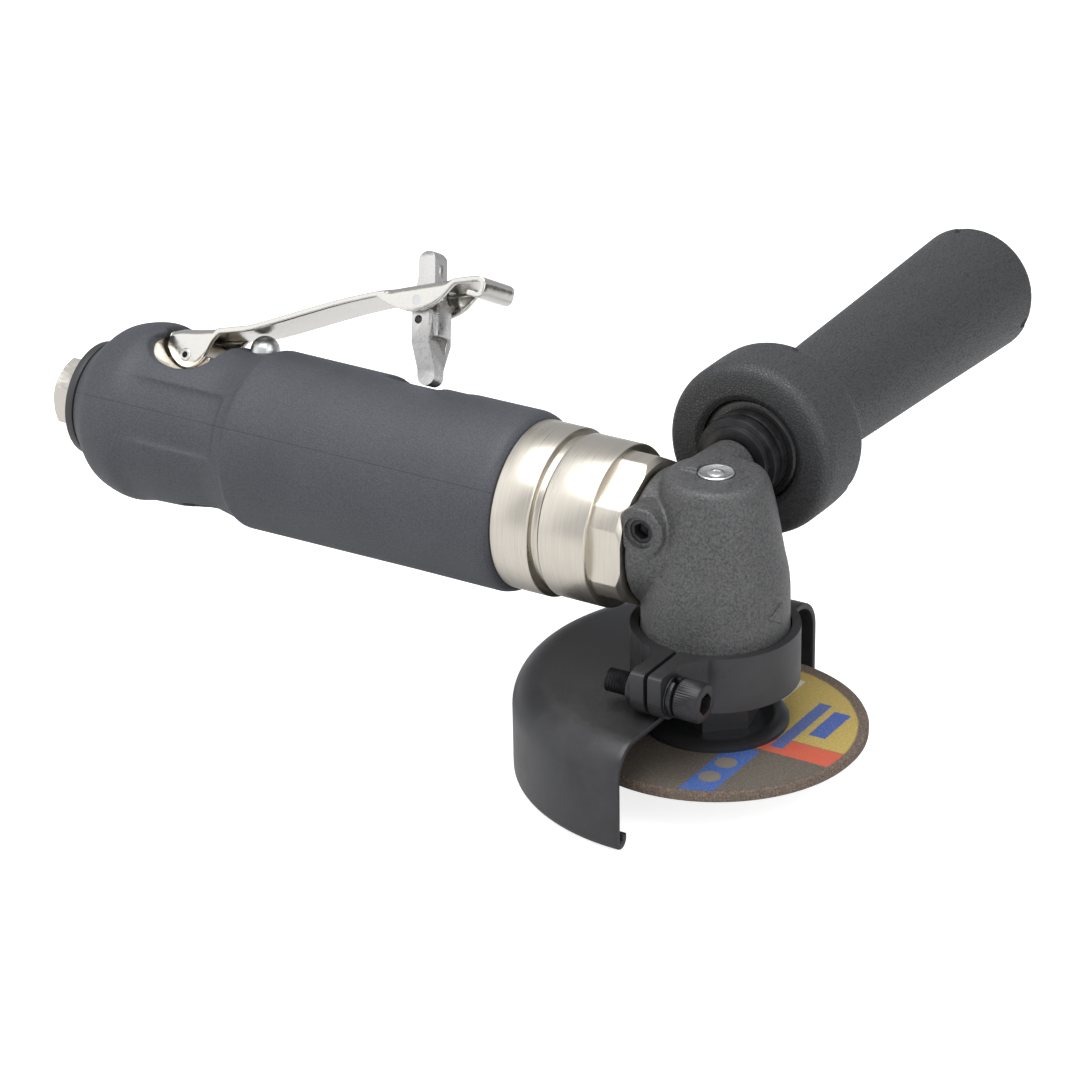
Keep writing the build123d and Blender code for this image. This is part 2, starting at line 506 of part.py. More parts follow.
def guard_parts():
    """Half guard on a split band that a socket screw clamps round the head."""
    corner = 9.0
    top, sheet = -32.7, GUARD_SHEET
    arc_x, arc_z = GUARD_RADIUS - corner, top - corner
    outer_arc, inner_arc = [], []
    for step in range(7):
        angle = math.radians(15 * step)
        outer_arc.append((arc_x + corner * math.sin(angle), arc_z + corner * math.cos(angle)))
        inside = corner - sheet
        inner_arc.append((arc_x + inside * math.sin(angle), arc_z + inside * math.cos(angle)))
    lip = [(GUARD_RADIUS, GUARD_BOTTOM), (GUARD_RADIUS - 3.4, GUARD_BOTTOM)]
    lip += [(GUARD_RADIUS - 3.4, GUARD_BOTTOM + sheet), (GUARD_RADIUS - sheet, GUARD_BOTTOM + sheet)]
    outline = [(BAND_BORE, top - sheet), (BAND_BORE, top)] + outer_arc + lip + inner_arc[::-1]
    shell = turned_z(outline) & block(-60, 1.5, -60, 60, -70, 0)
    shell += tube_z(top - sheet, top, BAND_RADIUS, BAND_BORE)
    ears = block(-4.25, 4.25, -34.0, -19.5, BAND_BOTTOM, BAND_TOP)
    band = tube_z(BAND_BOTTOM, BAND_TOP, BAND_RADIUS) + ears
    band -= tube_z(BAND_BOTTOM, BAND_TOP, BAND_BORE)
    band -= block(-0.55, 0.55, -40, -10, -40, -10)
    shell += tube_z(top, BAND_BOTTOM, BAND_RADIUS, BAND_BORE)
    place = Pos(0, CLAMP_Y, CLAMP_Z)
    band -= place * tube_x(-5, 5, 3.0)
    screw = tube_x(6.8, 13.3, 5.0) + tube_x(-13.5, 6.8, 3.0)
    screw -= extrude(Plane.YZ.offset(10.3) * RegularPolygon(2.5, 6, major_radius=False), amount=3.0)
    return {
        "guard_shell": shell,
        "clamp_band": band,
        "clamp_screw": place * screw,
        "clamp_washer": place * tube_x(4.25, 6.8, 5.2, 3.0),
        "clamp_nut": place * tube_x(-6.4, -4.25, 5.2, 3.0),
    }


def turned_with_grip():
    """Pieces drawn with the lever on top, before the roll about the motor axis."""
    parts = {
        "motor_housing": motor_housing(),
        "grip_sleeve": grip_sleeve(),
        "rear_cap": rear_cap(),
        "muffler": muffler(),
        "inlet_bushing": inlet_bushing(),
        "inlet_strainer": inlet_strainer(),
        "speed_regulator": speed_regulator(),
        "lever_pin": lever_pin(),
        "throttle_lever": throttle_lever(),
    }
    for group in (valve_parts(), lock_off_parts()):
        parts.update(group)
    return {name: Rot(-ROLL, 0, 0) * shape for name, shape in parts.items()}


def square_with_head():
    """Pieces that keep the head's own upright position."""
    parts = {
        "collar_nut": collar_nut(),
        "head_housing": head_housing(),
        "bevel_pinion": bevel_pinion(),
    }
    for group in (motor_parts(), head_fittings(), spindle_parts(), side_handle_parts(), guard_parts()):
        parts.update(group)
    return parts


os.makedirs("parts", exist_ok=True)
for name, shape in {**turned_with_grip(), **square_with_head()}.items():
    export_step(Pos(INLET_REACH, 0, 0) * shape, f"parts/{name}.step")
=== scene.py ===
import bmesh
import bpy
import math
from mathutils import Matrix, Vector


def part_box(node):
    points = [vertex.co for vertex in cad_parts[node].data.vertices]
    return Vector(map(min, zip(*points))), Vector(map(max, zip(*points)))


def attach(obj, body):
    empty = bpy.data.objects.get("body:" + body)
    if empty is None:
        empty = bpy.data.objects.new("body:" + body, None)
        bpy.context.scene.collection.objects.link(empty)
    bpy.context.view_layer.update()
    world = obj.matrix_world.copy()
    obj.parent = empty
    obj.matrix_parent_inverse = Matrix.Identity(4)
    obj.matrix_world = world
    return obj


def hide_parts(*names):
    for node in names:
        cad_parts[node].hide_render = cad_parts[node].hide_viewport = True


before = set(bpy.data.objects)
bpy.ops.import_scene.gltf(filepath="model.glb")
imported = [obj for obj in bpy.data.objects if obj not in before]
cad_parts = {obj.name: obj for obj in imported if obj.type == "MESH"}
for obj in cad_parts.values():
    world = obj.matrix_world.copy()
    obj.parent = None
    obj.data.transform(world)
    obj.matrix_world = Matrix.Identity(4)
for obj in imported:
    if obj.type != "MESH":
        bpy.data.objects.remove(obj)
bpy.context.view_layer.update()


# ---- Motor body ------------------------------------------------------------------------------
# Turned steel tube, nickel plated. Only its front ring and the valve block under the throttle
# lever show; the rest sits inside the grip. The block is milled and carries the lever's pin.
MM = 0.001
ROLL = math.radians(28)  # motor, grip and lever are turned this far about the motor axis
wheel_low, wheel_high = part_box("cutoff_wheel")
SPINDLE_X = (wheel_low.x + wheel_high.x) / 2
AXES = {"X": Vector((1, 0, 0)), "Y": Vector((0, 1, 0)), "Z": Vector((0, 0, 1))}


def new_finish(name, colour, metallic, roughness):
    """A plain shader to build a finish on."""
    finish = bpy.data.materials.new(name)
    finish.use_nodes = True
    shader = finish.node_tree.nodes["Principled BSDF"]
    shader.inputs["Base Color"].default_value = (*colour, 1)
    shader.inputs["Metallic"].default_value = metallic
    shader.inputs["Roughness"].default_value = roughness
    return finish, finish.node_tree, shader


def add_node(tree, kind, settings=None, **inputs):
    """A shader node with its settings and inputs; an input is a number or another node's socket."""
    node = tree.nodes.new(kind)
    for key, value in (settings or {}).items():
        setattr(node, key, value)
    for key, value in inputs.items():
        socket = node.inputs[int(key[1:])] if key[0] == "i" and key[1:].isdigit() else node.inputs[key]
        if isinstance(value, bpy.types.NodeSocket):
            tree.links.new(value, socket)
        else:
            socket.default_value = value
    return node


def body_point(tree, stretch=(1, 1, 1), centre=(0, 0, 0)):
    """Position on the piece in metres, stretched along each axis about a centre."""
    point = add_node(tree, "ShaderNodeTexCoord").outputs["Object"]
    centred = add_node(tree, "ShaderNodeVectorMath", {"operation": "SUBTRACT"}, i0=point, i1=centre)
    return add_node(
        tree, "ShaderNodeVectorMath", {"operation": "MULTIPLY"}, i0=centred.outputs[0], i1=stretch
    ).outputs[0]


def noise(tree, point, scale, detail=2.0, rough=0.5):
    """Noise value at a point."""
    node = add_node(tree, "ShaderNodeTexNoise", None, Vector=point, Scale=scale, Detail=detail, Roughness=rough)
    return node.outputs["Fac"]


def spread(tree, value, low, high, start=0.3, end=0.7):
    """Maps a noise value onto a range."""
    node = add_node(tree, "ShaderNodeMapRange", None, i0=value, i1=start, i2=end, i3=low, i4=high)
    return node.outputs[0]


def relief(tree, shader, height, depth):
    """Surface relief of a given depth in metres."""
    node = add_node(tree, "ShaderNodeBump", None, Height=height, Distance=depth, Strength=1.0)
    tree.links.new(node.outputs["Normal"], shader.inputs["Normal"])


def tint(tree, shader, factor, first, second):
    """Colour that goes from first to second with factor."""
    node = add_node(tree, "ShaderNodeMix", {"data_type": "RGBA"}, i0=factor, i6=(*first, 1), i7=(*second, 1))
    tree.links.new(node.outputs[2], shader.inputs["Base Color"])
    return node


def turned_nickel():
    """Nickel plate over fine lathe lines that ring the motor axis."""
    finish, tree, shader = new_finish("turned_nickel", (0.62, 0.57, 0.5), 1.0, 0.3)
    lines = noise(tree, body_point(tree, (5200, 60, 60)), 1.0, 3.0, 0.7)
    patches = noise(tree, body_point(tree), 90, 2.0)
    total = add_node(tree, "ShaderNodeMath", {"operation": "MULTIPLY_ADD"}, i0=lines, i1=0.7, i2=0.0)
    both = add_node(tree, "ShaderNodeMath", {"operation": "MULTIPLY_ADD"}, i0=patches, i1=0.3, i2=total.outputs[0])
    tree.links.new(spread(tree, both.outputs[0], 0.24, 0.42), shader.inputs["Roughness"])
    tint(tree, shader, spread(tree, lines, 0, 1), (0.56, 0.515, 0.45), (0.67, 0.63, 0.56))
    relief(tree, shader, lines, 0.000012)
    return finish


def turned(outline, axis="X", steps=96, closed=False, angle=2 * math.pi, rise=0.0):
    """Spins an outline of (along, radius) points about an axis, like work on a lathe."""
    shape = bmesh.new()
    place = {
        "X": lambda a, r: (a, 0, r),
        "Y": lambda a, r: (r, a, 0),
        "Z": lambda a, r: (r, 0, a),
    }[axis]
    points = [shape.verts.new(place(a, r)) for a, r in outline]
    edges = [shape.edges.new(pair) for pair in zip(points, points[1:])]
    if closed:
        edges.append(shape.edges.new((points[-1], points[0])))
    geom = points + edges
    whole = angle == 2 * math.pi
    if closed and not whole:
        geom.append(shape.faces.new(points))
    bmesh.ops.spin(
        shape, geom=geom, cent=(0, 0, 0), axis=AXES[axis], dvec=AXES[axis] * (rise / steps), angle=angle,
        steps=steps, use_merge=whole and rise == 0, use_duplicate=False,
    )
    bmesh.ops.remove_doubles(shape, verts=shape.verts, dist=1e-4)
    bmesh.ops.recalc_face_normals(shape, faces=shape.faces)
    return shape


def block(low, high):
    """A box between two corners."""
    shape = bmesh.new()
    size = Vector(high) - Vector(low)
    middle = (Vector(high) + Vector(low)) / 2
    bmesh.ops.create_cube(shape, size=1, matrix=Matrix.Translation(middle) @ Matrix.Diagonal((*size, 1)))
    return shape


def rod(start, end, radius, sides=48):
    """A solid bar from one point to another."""
    shape = bmesh.new()
    start, end = Vector(start), Vector(end)
    turn = (end - start).to_track_quat("Z", "Y").to_matrix().to_4x4()
    bmesh.ops.create_cone(
        shape, cap_ends=True, segments=sides, radius1=radius, radius2=radius, depth=(end - start).length,
        matrix=Matrix.Translation((start + end) / 2) @ turn,
    )
    return shape


def plate(outline, thickness, plane="XZ"):
    """A flat outline given thickness to both sides: XZ thickens along Y, YZ along X."""
    shape = bmesh.new()
    put = {"XZ": lambda a, b: (a, -thickness / 2, b), "YZ": lambda a, b: (-thickness / 2, a, b)}[plane]
    face = shape.faces.new([shape.verts.new(put(a, b)) for a, b in outline])
    grown = bmesh.ops.extrude_face_region(shape, geom=[face])
    away = AXES["Y" if plane == "XZ" else "X"] * thickness
    bmesh.ops.translate(shape, verts=[v for v in grown["geom"] if isinstance(v, bmesh.types.BMVert)], vec=away)
    bmesh.ops.recalc_face_normals(shape, faces=shape.faces)
    return shape


def soften(shape, width, segments=2, sharper_than=35):
    """Rounds every edge sharper than an angle."""
    sharp = [e for e in shape.edges if e.is_manifold and e.calc_face_angle() > math.radians(sharper_than)]
    bmesh.ops.bevel(
        shape, geom=sharp, offset=width, offset_type="OFFSET", segments=segments, profile=0.5,
        affect="EDGES", material=-1, clamp_overlap=True,
    )
    return shape


def work_object(shape):
    """A temporary object from a shape, which it uses up."""
    mesh = bpy.data.meshes.new("work")
    shape.to_mesh(mesh)
    shape.free()
    ob = bpy.data.objects.new("work", mesh)
    bpy.context.scene.collection.objects.link(ob)
    return ob


def combine(first, second, how="DIFFERENCE"):
    """Cuts, joins (UNION) or keeps the overlap (INTERSECT) of two shapes, and uses both up."""
    pair = [work_object(first), work_object(second)]
    step = pair[0].modifiers.new("combine", "BOOLEAN")
    step.operation, step.object, step.solver = how, pair[1], "EXACT"
    result = bmesh.new()
    result.from_object(pair[0], bpy.context.evaluated_depsgraph_get())
    for ob in pair:
        bpy.data.objects.remove(ob)
    return result


def piece(name, shape, body, nodes, finish, rolled=False, smooth_below=32):
    """Puts a shape drawn in millimetres about the spindle and motor axes into the frame."""
    place = Matrix.Translation((SPINDLE_X, 0, 0)) @ Matrix.Diagonal((MM, MM, MM, 1))
    if rolled:
        place = place @ Matrix.Rotation(-ROLL, 4, "X")
    bmesh.ops.transform(shape, matrix=place, verts=shape.verts)
    mesh = bpy.data.meshes.new(name)
    shape.to_mesh(mesh)
    shape.free()
    mesh.shade_smooth()
    mesh.set_sharp_from_angle(angle=math.radians(smooth_below))
    mesh.materials.append(finish)
    ob = bpy.data.objects.new(name, mesh)
    bpy.context.scene.collection.objects.link(ob)
    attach(ob, body)
    for node in nodes:
        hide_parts(node)
    return ob


NICKEL = turned_nickel()
body = turned([
    (-38.8, 17.0), (-38.8, 19.5), (-40.7, 19.5), (-40.7, 21.5), (-51.6, 21.5), (-51.6, 20.0), (-122, 20.0), (-128, 15.2), (-184.9, 15.0),
    (-184.9, 13.1), (-178, 13.1), (-178, 8.5), (-175, 8.5), (-175, 7.0), (-165, 7.0), (-165, 5.7),
    (-113, 5.7), (-113, 17.0),
], closed=True, steps=128)
soften(body, 0.45, 3)


def flowing(points, per_span=6):
    """Points along a smooth curve through the given ones."""
    path = [Vector(p) for p in points]
    path = [path[0] * 2 - path[1]] + path + [path[-1] * 2 - path[-2]]
    out = []
    for a, b, c, d in zip(path, path[1:], path[2:], path[3:]):
        for step in range(per_span):
            t = step / per_span
            out.append(0.5 * (2 * b + (c - a) * t + (2 * a - 5 * b + 4 * c - d) * t * t
                              + (3 * b - a - 3 * c + d) * t ** 3))
    return [tuple(p) for p in out] + [tuple(path[-2])]


pocket_line = flowing([
    (-164.8, 21.5), (-166.2, 18.2), (-164.2, 15.2), (-161.0, 13.1), (-156.8, 12.1), (-152.8, 12.1),
    (-149.4, 13.1), (-147.2, 14.9), (-146.3, 17.6), (-146.0, 21.0),
], 4) + [(-146.0, 40), (-166.4, 40), (-163.6, 24.0)]
pad = turned([(-168, 0), (-168, 21.0), (-144, 21.0), (-144, 0)], steps=128)
pad = combine(pad, block((-170, -30, 8), (-140, 30, 30)), "INTERSECT")
pad = combine(pad, plate(pocket_line, 60))
pad = combine(pad, block((-166.6, -8.6, 11.9), (-146, 8.6, 40)))
pad = combine(pad, rod((-140.2, 0, 0), (-140.2, 0, 40), 7.0))
valve_block = soften(block((-165.5, -11, 6), (-147.5, 11, 12.1)), 1.2, 3)
valve_block = combine(valve_block, soften(block((-165, -5.9, 8), (-152.5, 5.9, 17)), 0.6), "UNION")
valve_block = combine(valve_block, rod((-159, -5.9, 16.2), (-159, 5.9, 16.2), 4.6), "UNION")
valve_block = combine(valve_block, rod((-140.2, 0, 7), (-140.2, 0, 17.5), 7.0), "UNION")
body = combine(body, valve_block, "UNION")
for side in (-1, 1):
    low_y, high_y = sorted((side * 5.9, side * 8.6))
    body = combine(body, block((-166.6, low_y, 12.1), (-147.5, high_y, 17.5)))
body = combine(body, rod((-159, -7, 16.2), (-159, 7, 16.2), 1.62))
body = combine(body, rod((-140.2, 0, 0), (-140.2, 0, 18), 5.6))
body = combine(body, rod((-147, 0, -16), (-147, 0, 0), 3.1))
pad_mesh = bpy.data.meshes.new("pad")
pad.to_mesh(pad_mesh)
pad.free()
body.from_mesh(pad_mesh)
piece("motor_body", body, "housing", ["motor_housing"], NICKEL, rolled=True)


# ---- Grip sleeve -----------------------------------------------------------------------------
# Slate grey elastomer moulded over the motor body. It swells to a bulb at the air end, has a
# pocket for the lever's ears and a notch for the lock-off's foot, and shows its mould's joint.
def moulded(shape, grain, passes):
    """Melts joined shapes into one skin of even grain and eases its corners."""
    ob = work_object(shape)
    step = ob.modifiers.new("skin", "REMESH")
    step.mode, step.voxel_size, step.adaptivity = "VOXEL", grain, 0.0
    result = bmesh.new()
    result.from_object(ob, bpy.context.evaluated_depsgraph_get())
    bpy.data.objects.remove(ob)
    for _ in range(passes):
        bmesh.ops.smooth_vert(result, verts=result.verts, factor=0.5, use_axis_x=True, use_axis_y=True, use_axis_z=True)
    return result


def grip_elastomer():
    """Fine grained elastomer with a faint joint line along each side."""
    finish, tree, shader = new_finish("grip_elastomer", (0.055, 0.058, 0.066), 0.0, 0.6)
    point = body_point(tree)
    speck = noise(tree, point, 2600, 2.0, 0.6)
    fine = noise(tree, point, 6500, 1.0)
    cloud = noise(tree, point, 45, 3.0)
    turned_point = add_node(tree, "ShaderNodeVectorRotate", {"rotation_type": "X_AXIS"}, Vector=point, Angle=ROLL)
    height = add_node(tree, "ShaderNodeSeparateXYZ", None, i0=turned_point.outputs[0]).outputs["Z"]
    away = add_node(tree, "ShaderNodeMath", {"operation": "ABSOLUTE"}, i0=height)
    joint = add_node(tree, "ShaderNodeMapRange", None, i0=away.outputs[0], i1=0.00006, i2=0.0002, i3=0.35, i4=1.0)
    level = add_node(tree, "ShaderNodeMath", {"operation": "MULTIPLY_ADD"}, i0=joint.outputs[0], i1=0.8, i2=speck)
    shade = add_node(tree, "ShaderNodeMix", {"data_type": "RGBA"}, i0=spread(tree, speck, 0, 1),
                     i6=(0.030, 0.032, 0.038, 1), i7=(0.060, 0.063, 0.074, 1))
    worn = add_node(tree, "ShaderNodeMix", {"data_type": "RGBA", "blend_type": "MULTIPLY"}, i0=0.5,
                    i6=shade.outputs[2])
    tree.links.new(spread(tree, cloud, 0.8, 1.15), worn.inputs[7])
    lined = add_node(tree, "ShaderNodeMix", {"data_type": "RGBA"}, i0=joint.outputs[0],
                     i6=(0.02, 0.021, 0.024, 1), i7=worn.outputs[2])
    tree.links.new(lined.outputs[2], shader.inputs["Base Color"])
    tree.links.new(spread(tree, fine, 0.5, 0.68), shader.inputs["Roughness"])
    relief(tree, shader, level.outputs[0], 0.00006)
    return finish


grip_line = [(-51.6, 20.6), (-52.0, 21.8), (-53.0, 22.7), (-54.8, 23.2), (-80.0, 23.2), (-120.0, 23.5), (-130.4, 23.6)]
grip_line += [(-131.4, 23.6), (-132.0, 23.2)] + flowing([
    (-132.4, 22.95), (-133.2, 22.7), (-135.6, 22.0), (-140.0, 21.3), (-146.0, 21.7), (-154.0, 22.4), (-163.0, 22.8),
    (-166.0, 23.35), (-169.0, 23.8), (-173.0, 23.2), (-177.5, 21.6), (-181.2, 18.6), (-183.7, 16.2), (-184.8, 15.6),
], 3)
grip = turned([(-51.6, 0)] + grip_line + [(-184.8, 0)], steps=144)
grip = combine(grip, plate(pocket_line, 60))
grip = combine(grip, block((-166.4, -8.6, 12.1), (-146.0, 8.6, 40)))
grip = combine(grip, rod((-140.2, 0, 5), (-140.2, 0, 40), 4.15))
for x in (-148.5, -142.5):
    grip = combine(grip, rod((x, 0, -40), (x, 0, -15), 4.95))
grip = combine(grip, block((-148.5, -4.95, -40), (-142.5, 4.95, -15)))
grip = combine(grip, soften(block((-99, -12, 22.0), (-82, 12, 30)), 0.6))
grip = combine(grip, block((-93, -3.4, 20.6), (-75, 3.4, 30)))
grip = moulded(grip, 0.5, 2)
for vert in grip.verts:
    x, y, z = vert.co
    # Shallow finger hollow on each side of the waist, with a crisper front end.
    along = min(1, max(0, (x + 166) / 9)) * min(1, max(0, (-135.5 - x) / 0.9))
    across = max(0, 1 - (abs(z + 0.5) / 8.5) ** 8)
    if abs(y) > 15:
        vert.co.y -= math.copysign(1.15 * along * across, y)
bore = turned([(-50, 0), (-50, 20.2), (-122, 20.2), (-128, 15.4), (-186, 15.2), (-186, 0)], steps=96)
grip = combine(grip, bore)
grip = combine(grip, block((-165.6, -11.05, 5), (-147.4, 11.05, 12.05)))
pad_space = turned([(-168.02, 0), (-168.02, 21.02), (-143.98, 21.02), (-143.98, 0)], steps=128)
grip = combine(grip, combine(pad_space, block((-170, -30, 8), (-140, 30, 30)), "INTERSECT"))
grip = combine(grip, rod((-140.2, 0, 5), (-140.2, 0, 17.6), 7.05))
piece("grip", grip, "housing", ["grip_sleeve"], grip_elastomer(), rolled=True, smooth_below=60)


# ---- Rear cap and air inlet ------------------------------------------------------------------
# The cap is a dark moulded ring. The inlet is a nickel plated hex bushing, turned from bar, with
# a tapped mouth for the hose plug; its hexagon is chamfered at the free end.
def smooth_black(name, shade, roughness):
    """Moulded or rubber black with a slight unevenness."""
    finish, tree, shader = new_finish(name, (shade, shade, shade * 1.05), 0.0, roughness)
    uneven = noise(tree, body_point(tree), 1500, 2.0)
    tree.links.new(spread(tree, uneven, roughness - 0.07, roughness + 0.07), shader.inputs["Roughness"])
    relief(tree, shader, uneven, 0.00002)
    return finish


CAP_BLACK = smooth_black("cap_black", 0.03, 0.45)
cap = turned([(-187.6, 8.5), (-187.6, 15.4), (-185.3, 15.4), (-185.3, 14.4), (-184.9, 14.4), (-184.9, 13.1),
              (-182, 13.1), (-182, 8.5)], closed=True)
piece("rear_cap", soften(cap, 0.3, 3), "housing", ["rear_cap"], CAP_BLACK, rolled=True)


def hexagon(across_flats, start, end, axis="X", turn=0.0):
    """A hexagonal bar between two places on an axis."""
    shape = bmesh.new()
    radius = across_flats / 2 / math.cos(math.pi / 6)
    bmesh.ops.create_cone(shape, cap_ends=True, segments=6, radius1=radius, radius2=radius, depth=end - start)
    spin = Matrix.Rotation(turn, 4, "Z")
    swing = {"X": Matrix.Rotation(math.pi / 2, 4, "Y"), "Y": Matrix.Rotation(-math.pi / 2, 4, "X"),
             "Z": Matrix.Identity(4)}[axis]
    move = Matrix.Translation(AXES[axis] * ((start + end) / 2))
    bmesh.ops.transform(shape, matrix=move @ swing @ spin, verts=shape.verts)
    return shape


def cast_nickel():
    """Paler, slightly rougher nickel of the small fittings."""
    finish, tree, shader = new_finish("fitting_nickel", (0.6, 0.57, 0.52), 1.0, 0.36)
    marks = noise(tree, body_point(tree, (700, 1800, 1800)), 1.0, 3.0)
    tree.links.new(spread(tree, marks, 0.28, 0.46), shader.inputs["Roughness"])
    relief(tree, shader, marks, 0.00001)
    return finish


FITTING = cast_nickel()
inlet = hexagon(17.5, -196.5, -187.6)
inlet = combine(inlet, turned([(-196.5, 0), (-196.5, 8.9), (-195.3, 10.4), (-187.6, 10.4), (-187.6, 0)]), "INTERSECT")
soften(inlet, 0.25, 2)
inlet = combine(inlet, turned([(-187.7, 0), (-187.7, 8.45), (-175, 8.45), (-175, 0)]), "UNION")
mouth = [(-197, 0), (-197, 6.6), (-196.4, 6.6), (-195.6, 5.56)]
for turn in range(9):
    start = -195.6 + turn * 1.1
    mouth += [(start + 0.55, 5.15), (start + 1.1, 5.56)]
mouth += [(-185.5, 5.0), (-178, 5.0), (-178, 3.5), (-174, 3.5), (-174, 0)]
inlet = combine(inlet, turned(mouth, steps=64))
piece("air_inlet", inlet, "housing", ["inlet_bushing"], FITTING, rolled=True)


# ---- Collar nut ------------------------------------------------------------------------------
# Nickel plated coupling nut that draws the angle head onto the motor: a round band behind, and
# wrench flats in front, chamfered on the lathe. A rubber ring seals the groove behind it.
collar = turned([(-46, 14.5), (-46, 16.9), (-38.3, 16.9), (-38.3, 20.7), (-24.8, 20.7), (-24.8, 14.5)], closed=True,
                steps=128)
soften(collar, 0.6, 4)
flats = hexagon(36.3, -25.4, -16.3, turn=math.radians(30))
rounding = turned([(-25.5, 0), (-25.5, 19.5), (-17.6, 19.5), (-16.3, 18.4), (-16.3, 0)], steps=128)
flats = combine(flats, rounding, "INTERSECT")
flats = combine(flats, rod((-26, 0, 0), (-16, 0, 0), 14.5, 96))
soften(flats, 0.18, 2, 30)
collar = combine(collar, flats, "UNION")
piece("collar_nut", collar, "housing", ["collar_nut"], NICKEL)


# ---- Angle head ------------------------------------------------------------------------------
# Cast housing of the bevel gears with a charcoal wrinkle coating: a bell round the spindle, a
# neck to the motor, a boss for the side handle and one for the recessed set screw.
def wrinkle_coating():
    """Charcoal powder coat with a fine hammered relief and faint sparkle."""
    finish, tree, shader = new_finish("wrinkle_coating", (0.055, 0.055, 0.057), 0.25, 0.42)
    point = body_point(tree)
    wrinkle = noise(tree, point, 1700, 3.0, 0.6)
    fine = noise(tree, point, 4200, 2.0)
    level = add_node(tree, "ShaderNodeMath", {"operation": "MULTIPLY_ADD"}, i0=fine, i1=0.35, i2=wrinkle)
    tint(tree, shader, spread(tree, wrinkle, 0, 1), (0.032, 0.032, 0.034), (0.11, 0.11, 0.11))
    tree.links.new(spread(tree, fine, 0.3, 0.52), shader.inputs["Roughness"])
    relief(tree, shader, level.outputs[0], 0.0002)
    return finish


bell = flowing([(19.7, 10.6), (19.55, 11.5), (18.8, 12.5), (16.5, 13.4), (10.2, 14.9), (0, 16.7), (-5, 17.75),
                (-9, 18.2), (-14, 18.3), (-19.9, 18.3)], 4)
head = turned([(19.7, 0)] + bell + [(-20.2, 18.5), (-33, 18.5), (-33, 0)], "Z", steps=128)
neck = turned([(-15.8, 0), (-15.8, 16.8), (-15.2, 17.3), (-12.0, 17.3), (0, 15.5), (0, 0)], steps=128)
head = combine(head, neck, "UNION")
handle_boss = turned([(-2, 0), (-2, 7.4), (10, 7.2), (18.4, 6.8), (19.0, 6.2), (19.0, 0)], "Y", steps=64)
bmesh.ops.translate(handle_boss, verts=handle_boss.verts, vec=(-6, 0, 13.4))
head = combine(head, handle_boss, "UNION")
screw_boss = turned([(-17.0, 0), (-17.0, 6.1), (-16.7, 6.4), (-6, 6.5), (-6, 0)], "Y", steps=64)
bmesh.ops.translate(screw_boss, verts=screw_boss.verts, vec=(-11.6, 0, 8.0))
head = combine(head, screw_boss, "UNION")
head = moulded(head, 0.38, 4)
arrow = plate([(2.5, -10.2), (-2.7, -12.9), (2.7, -16.2)], 1.0, "XZ")
bmesh.ops.translate(arrow, verts=arrow.verts, vec=(0, -18.15, 0))
bmesh.ops.transform(arrow, matrix=Matrix.Rotation(math.radians(82), 4, "Z"), verts=arrow.verts)
head = combine(head, soften(arrow, 0.2, 2), "UNION")
head = combine(head, turned([(-38, 0), (-38, 14.4), (-14, 14.4), (-14, 0)]), "UNION")
head = combine(head, turned([(-40, 14.45), (-40, 24), (-15.95, 24), (-15.95, 14.45)], closed=True, steps=96))
gear_room = turned([
    (-34, 0), (-34, 14), (-21, 14), (-21, 12.5), (-13, 12.5), (-13, 11.9), (-2, 11.9), (-2, 5.4), (4, 5.4),
    (4, 6), (10, 6), (10, 1.5), (13, 1.5), (13, 3), (19.2, 3), (19.2, 4.7), (22, 4.7), (22, 0),
], "Z", steps=64)
head = combine(head, gear_room)
head = combine(head, turned([(-39, 0), (-39, 11), (-15, 11), (-15, 8.9), (0, 8.9), (0, 0)], steps=64))
head = combine(head, rod((-6, 8, 13.9), (-6, 21, 13.9), 4.9))
head = combine(head, rod((-11.6, -18, 8), (-11.6, -16.0, 8), 4.1))
head = combine(head, rod((-11.6, -18, 8), (-11.6, -9, 8), 3.05))
piece("angle_head", head, "housing", ["head_housing"], wrinkle_coating(), smooth_below=50)


# ---- Grease fitting and set screw ------------------------------------------------------------
# The grease fitting is a zinc plated button pressed into the head's top, with a ball in its
# middle. The set screw is a black hexagon-socket screw sunk in its boss.
def zinc_plate():
    """Pale zinc plate, slightly dulled."""
    finish, tree, shader = new_finish("zinc_plate", (0.62, 0.63, 0.63), 1.0, 0.34)
    dull = noise(tree, body_point(tree), 900, 3.0)
    tree.links.new(spread(tree, dull, 0.26, 0.45), shader.inputs["Roughness"])
    return finish


ZINC = zinc_plate()
button = turned([(13, 0), (13, 2.95), (19.3, 2.95), (19.3, 4.5), (20.0, 4.5), (20.2, 4.2), (20.0, 3.6), (19.9, 2.2),
                 (20.2, 1.7), (20.2, 1.2), (19.9, 1.1), (20.05, 0.6), (20.1, 0)], "Z", steps=64)
piece("grease_fitting", button, "housing", ["grease_fitting"], ZINC)


def black_oxide():
    """Oil-blackened steel with a satin sheen and faint handling marks."""
    finish, tree, shader = new_finish("black_oxide", (0.02, 0.02, 0.022), 0.55, 0.38)
    point = body_point(tree)
    marks = noise(tree, point, 240, 4.0, 0.6)
    fine = noise(tree, point, 2400, 2.0)
    tree.links.new(spread(tree, marks, 0.3, 0.47), shader.inputs["Roughness"])
    tint(tree, shader, spread(tree, marks, 0, 1), (0.015, 0.015, 0.017), (0.036, 0.036, 0.038))
    relief(tree, shader, fine, 0.00002)
    return finish


BLACK_STEEL = black_oxide()
set_screw = rod((0, -15.8, 0), (0, -9, 0), 3.0)
set_screw = combine(set_screw, hexagon(3.8, -16.5, -12.8, "Y"))
bmesh.ops.translate(set_screw, verts=set_screw.verts, vec=(-11.6, 0, 8))
piece("set_screw", soften(set_screw, 0.15, 2), "housing", ["set_screw"], BLACK_STEEL)


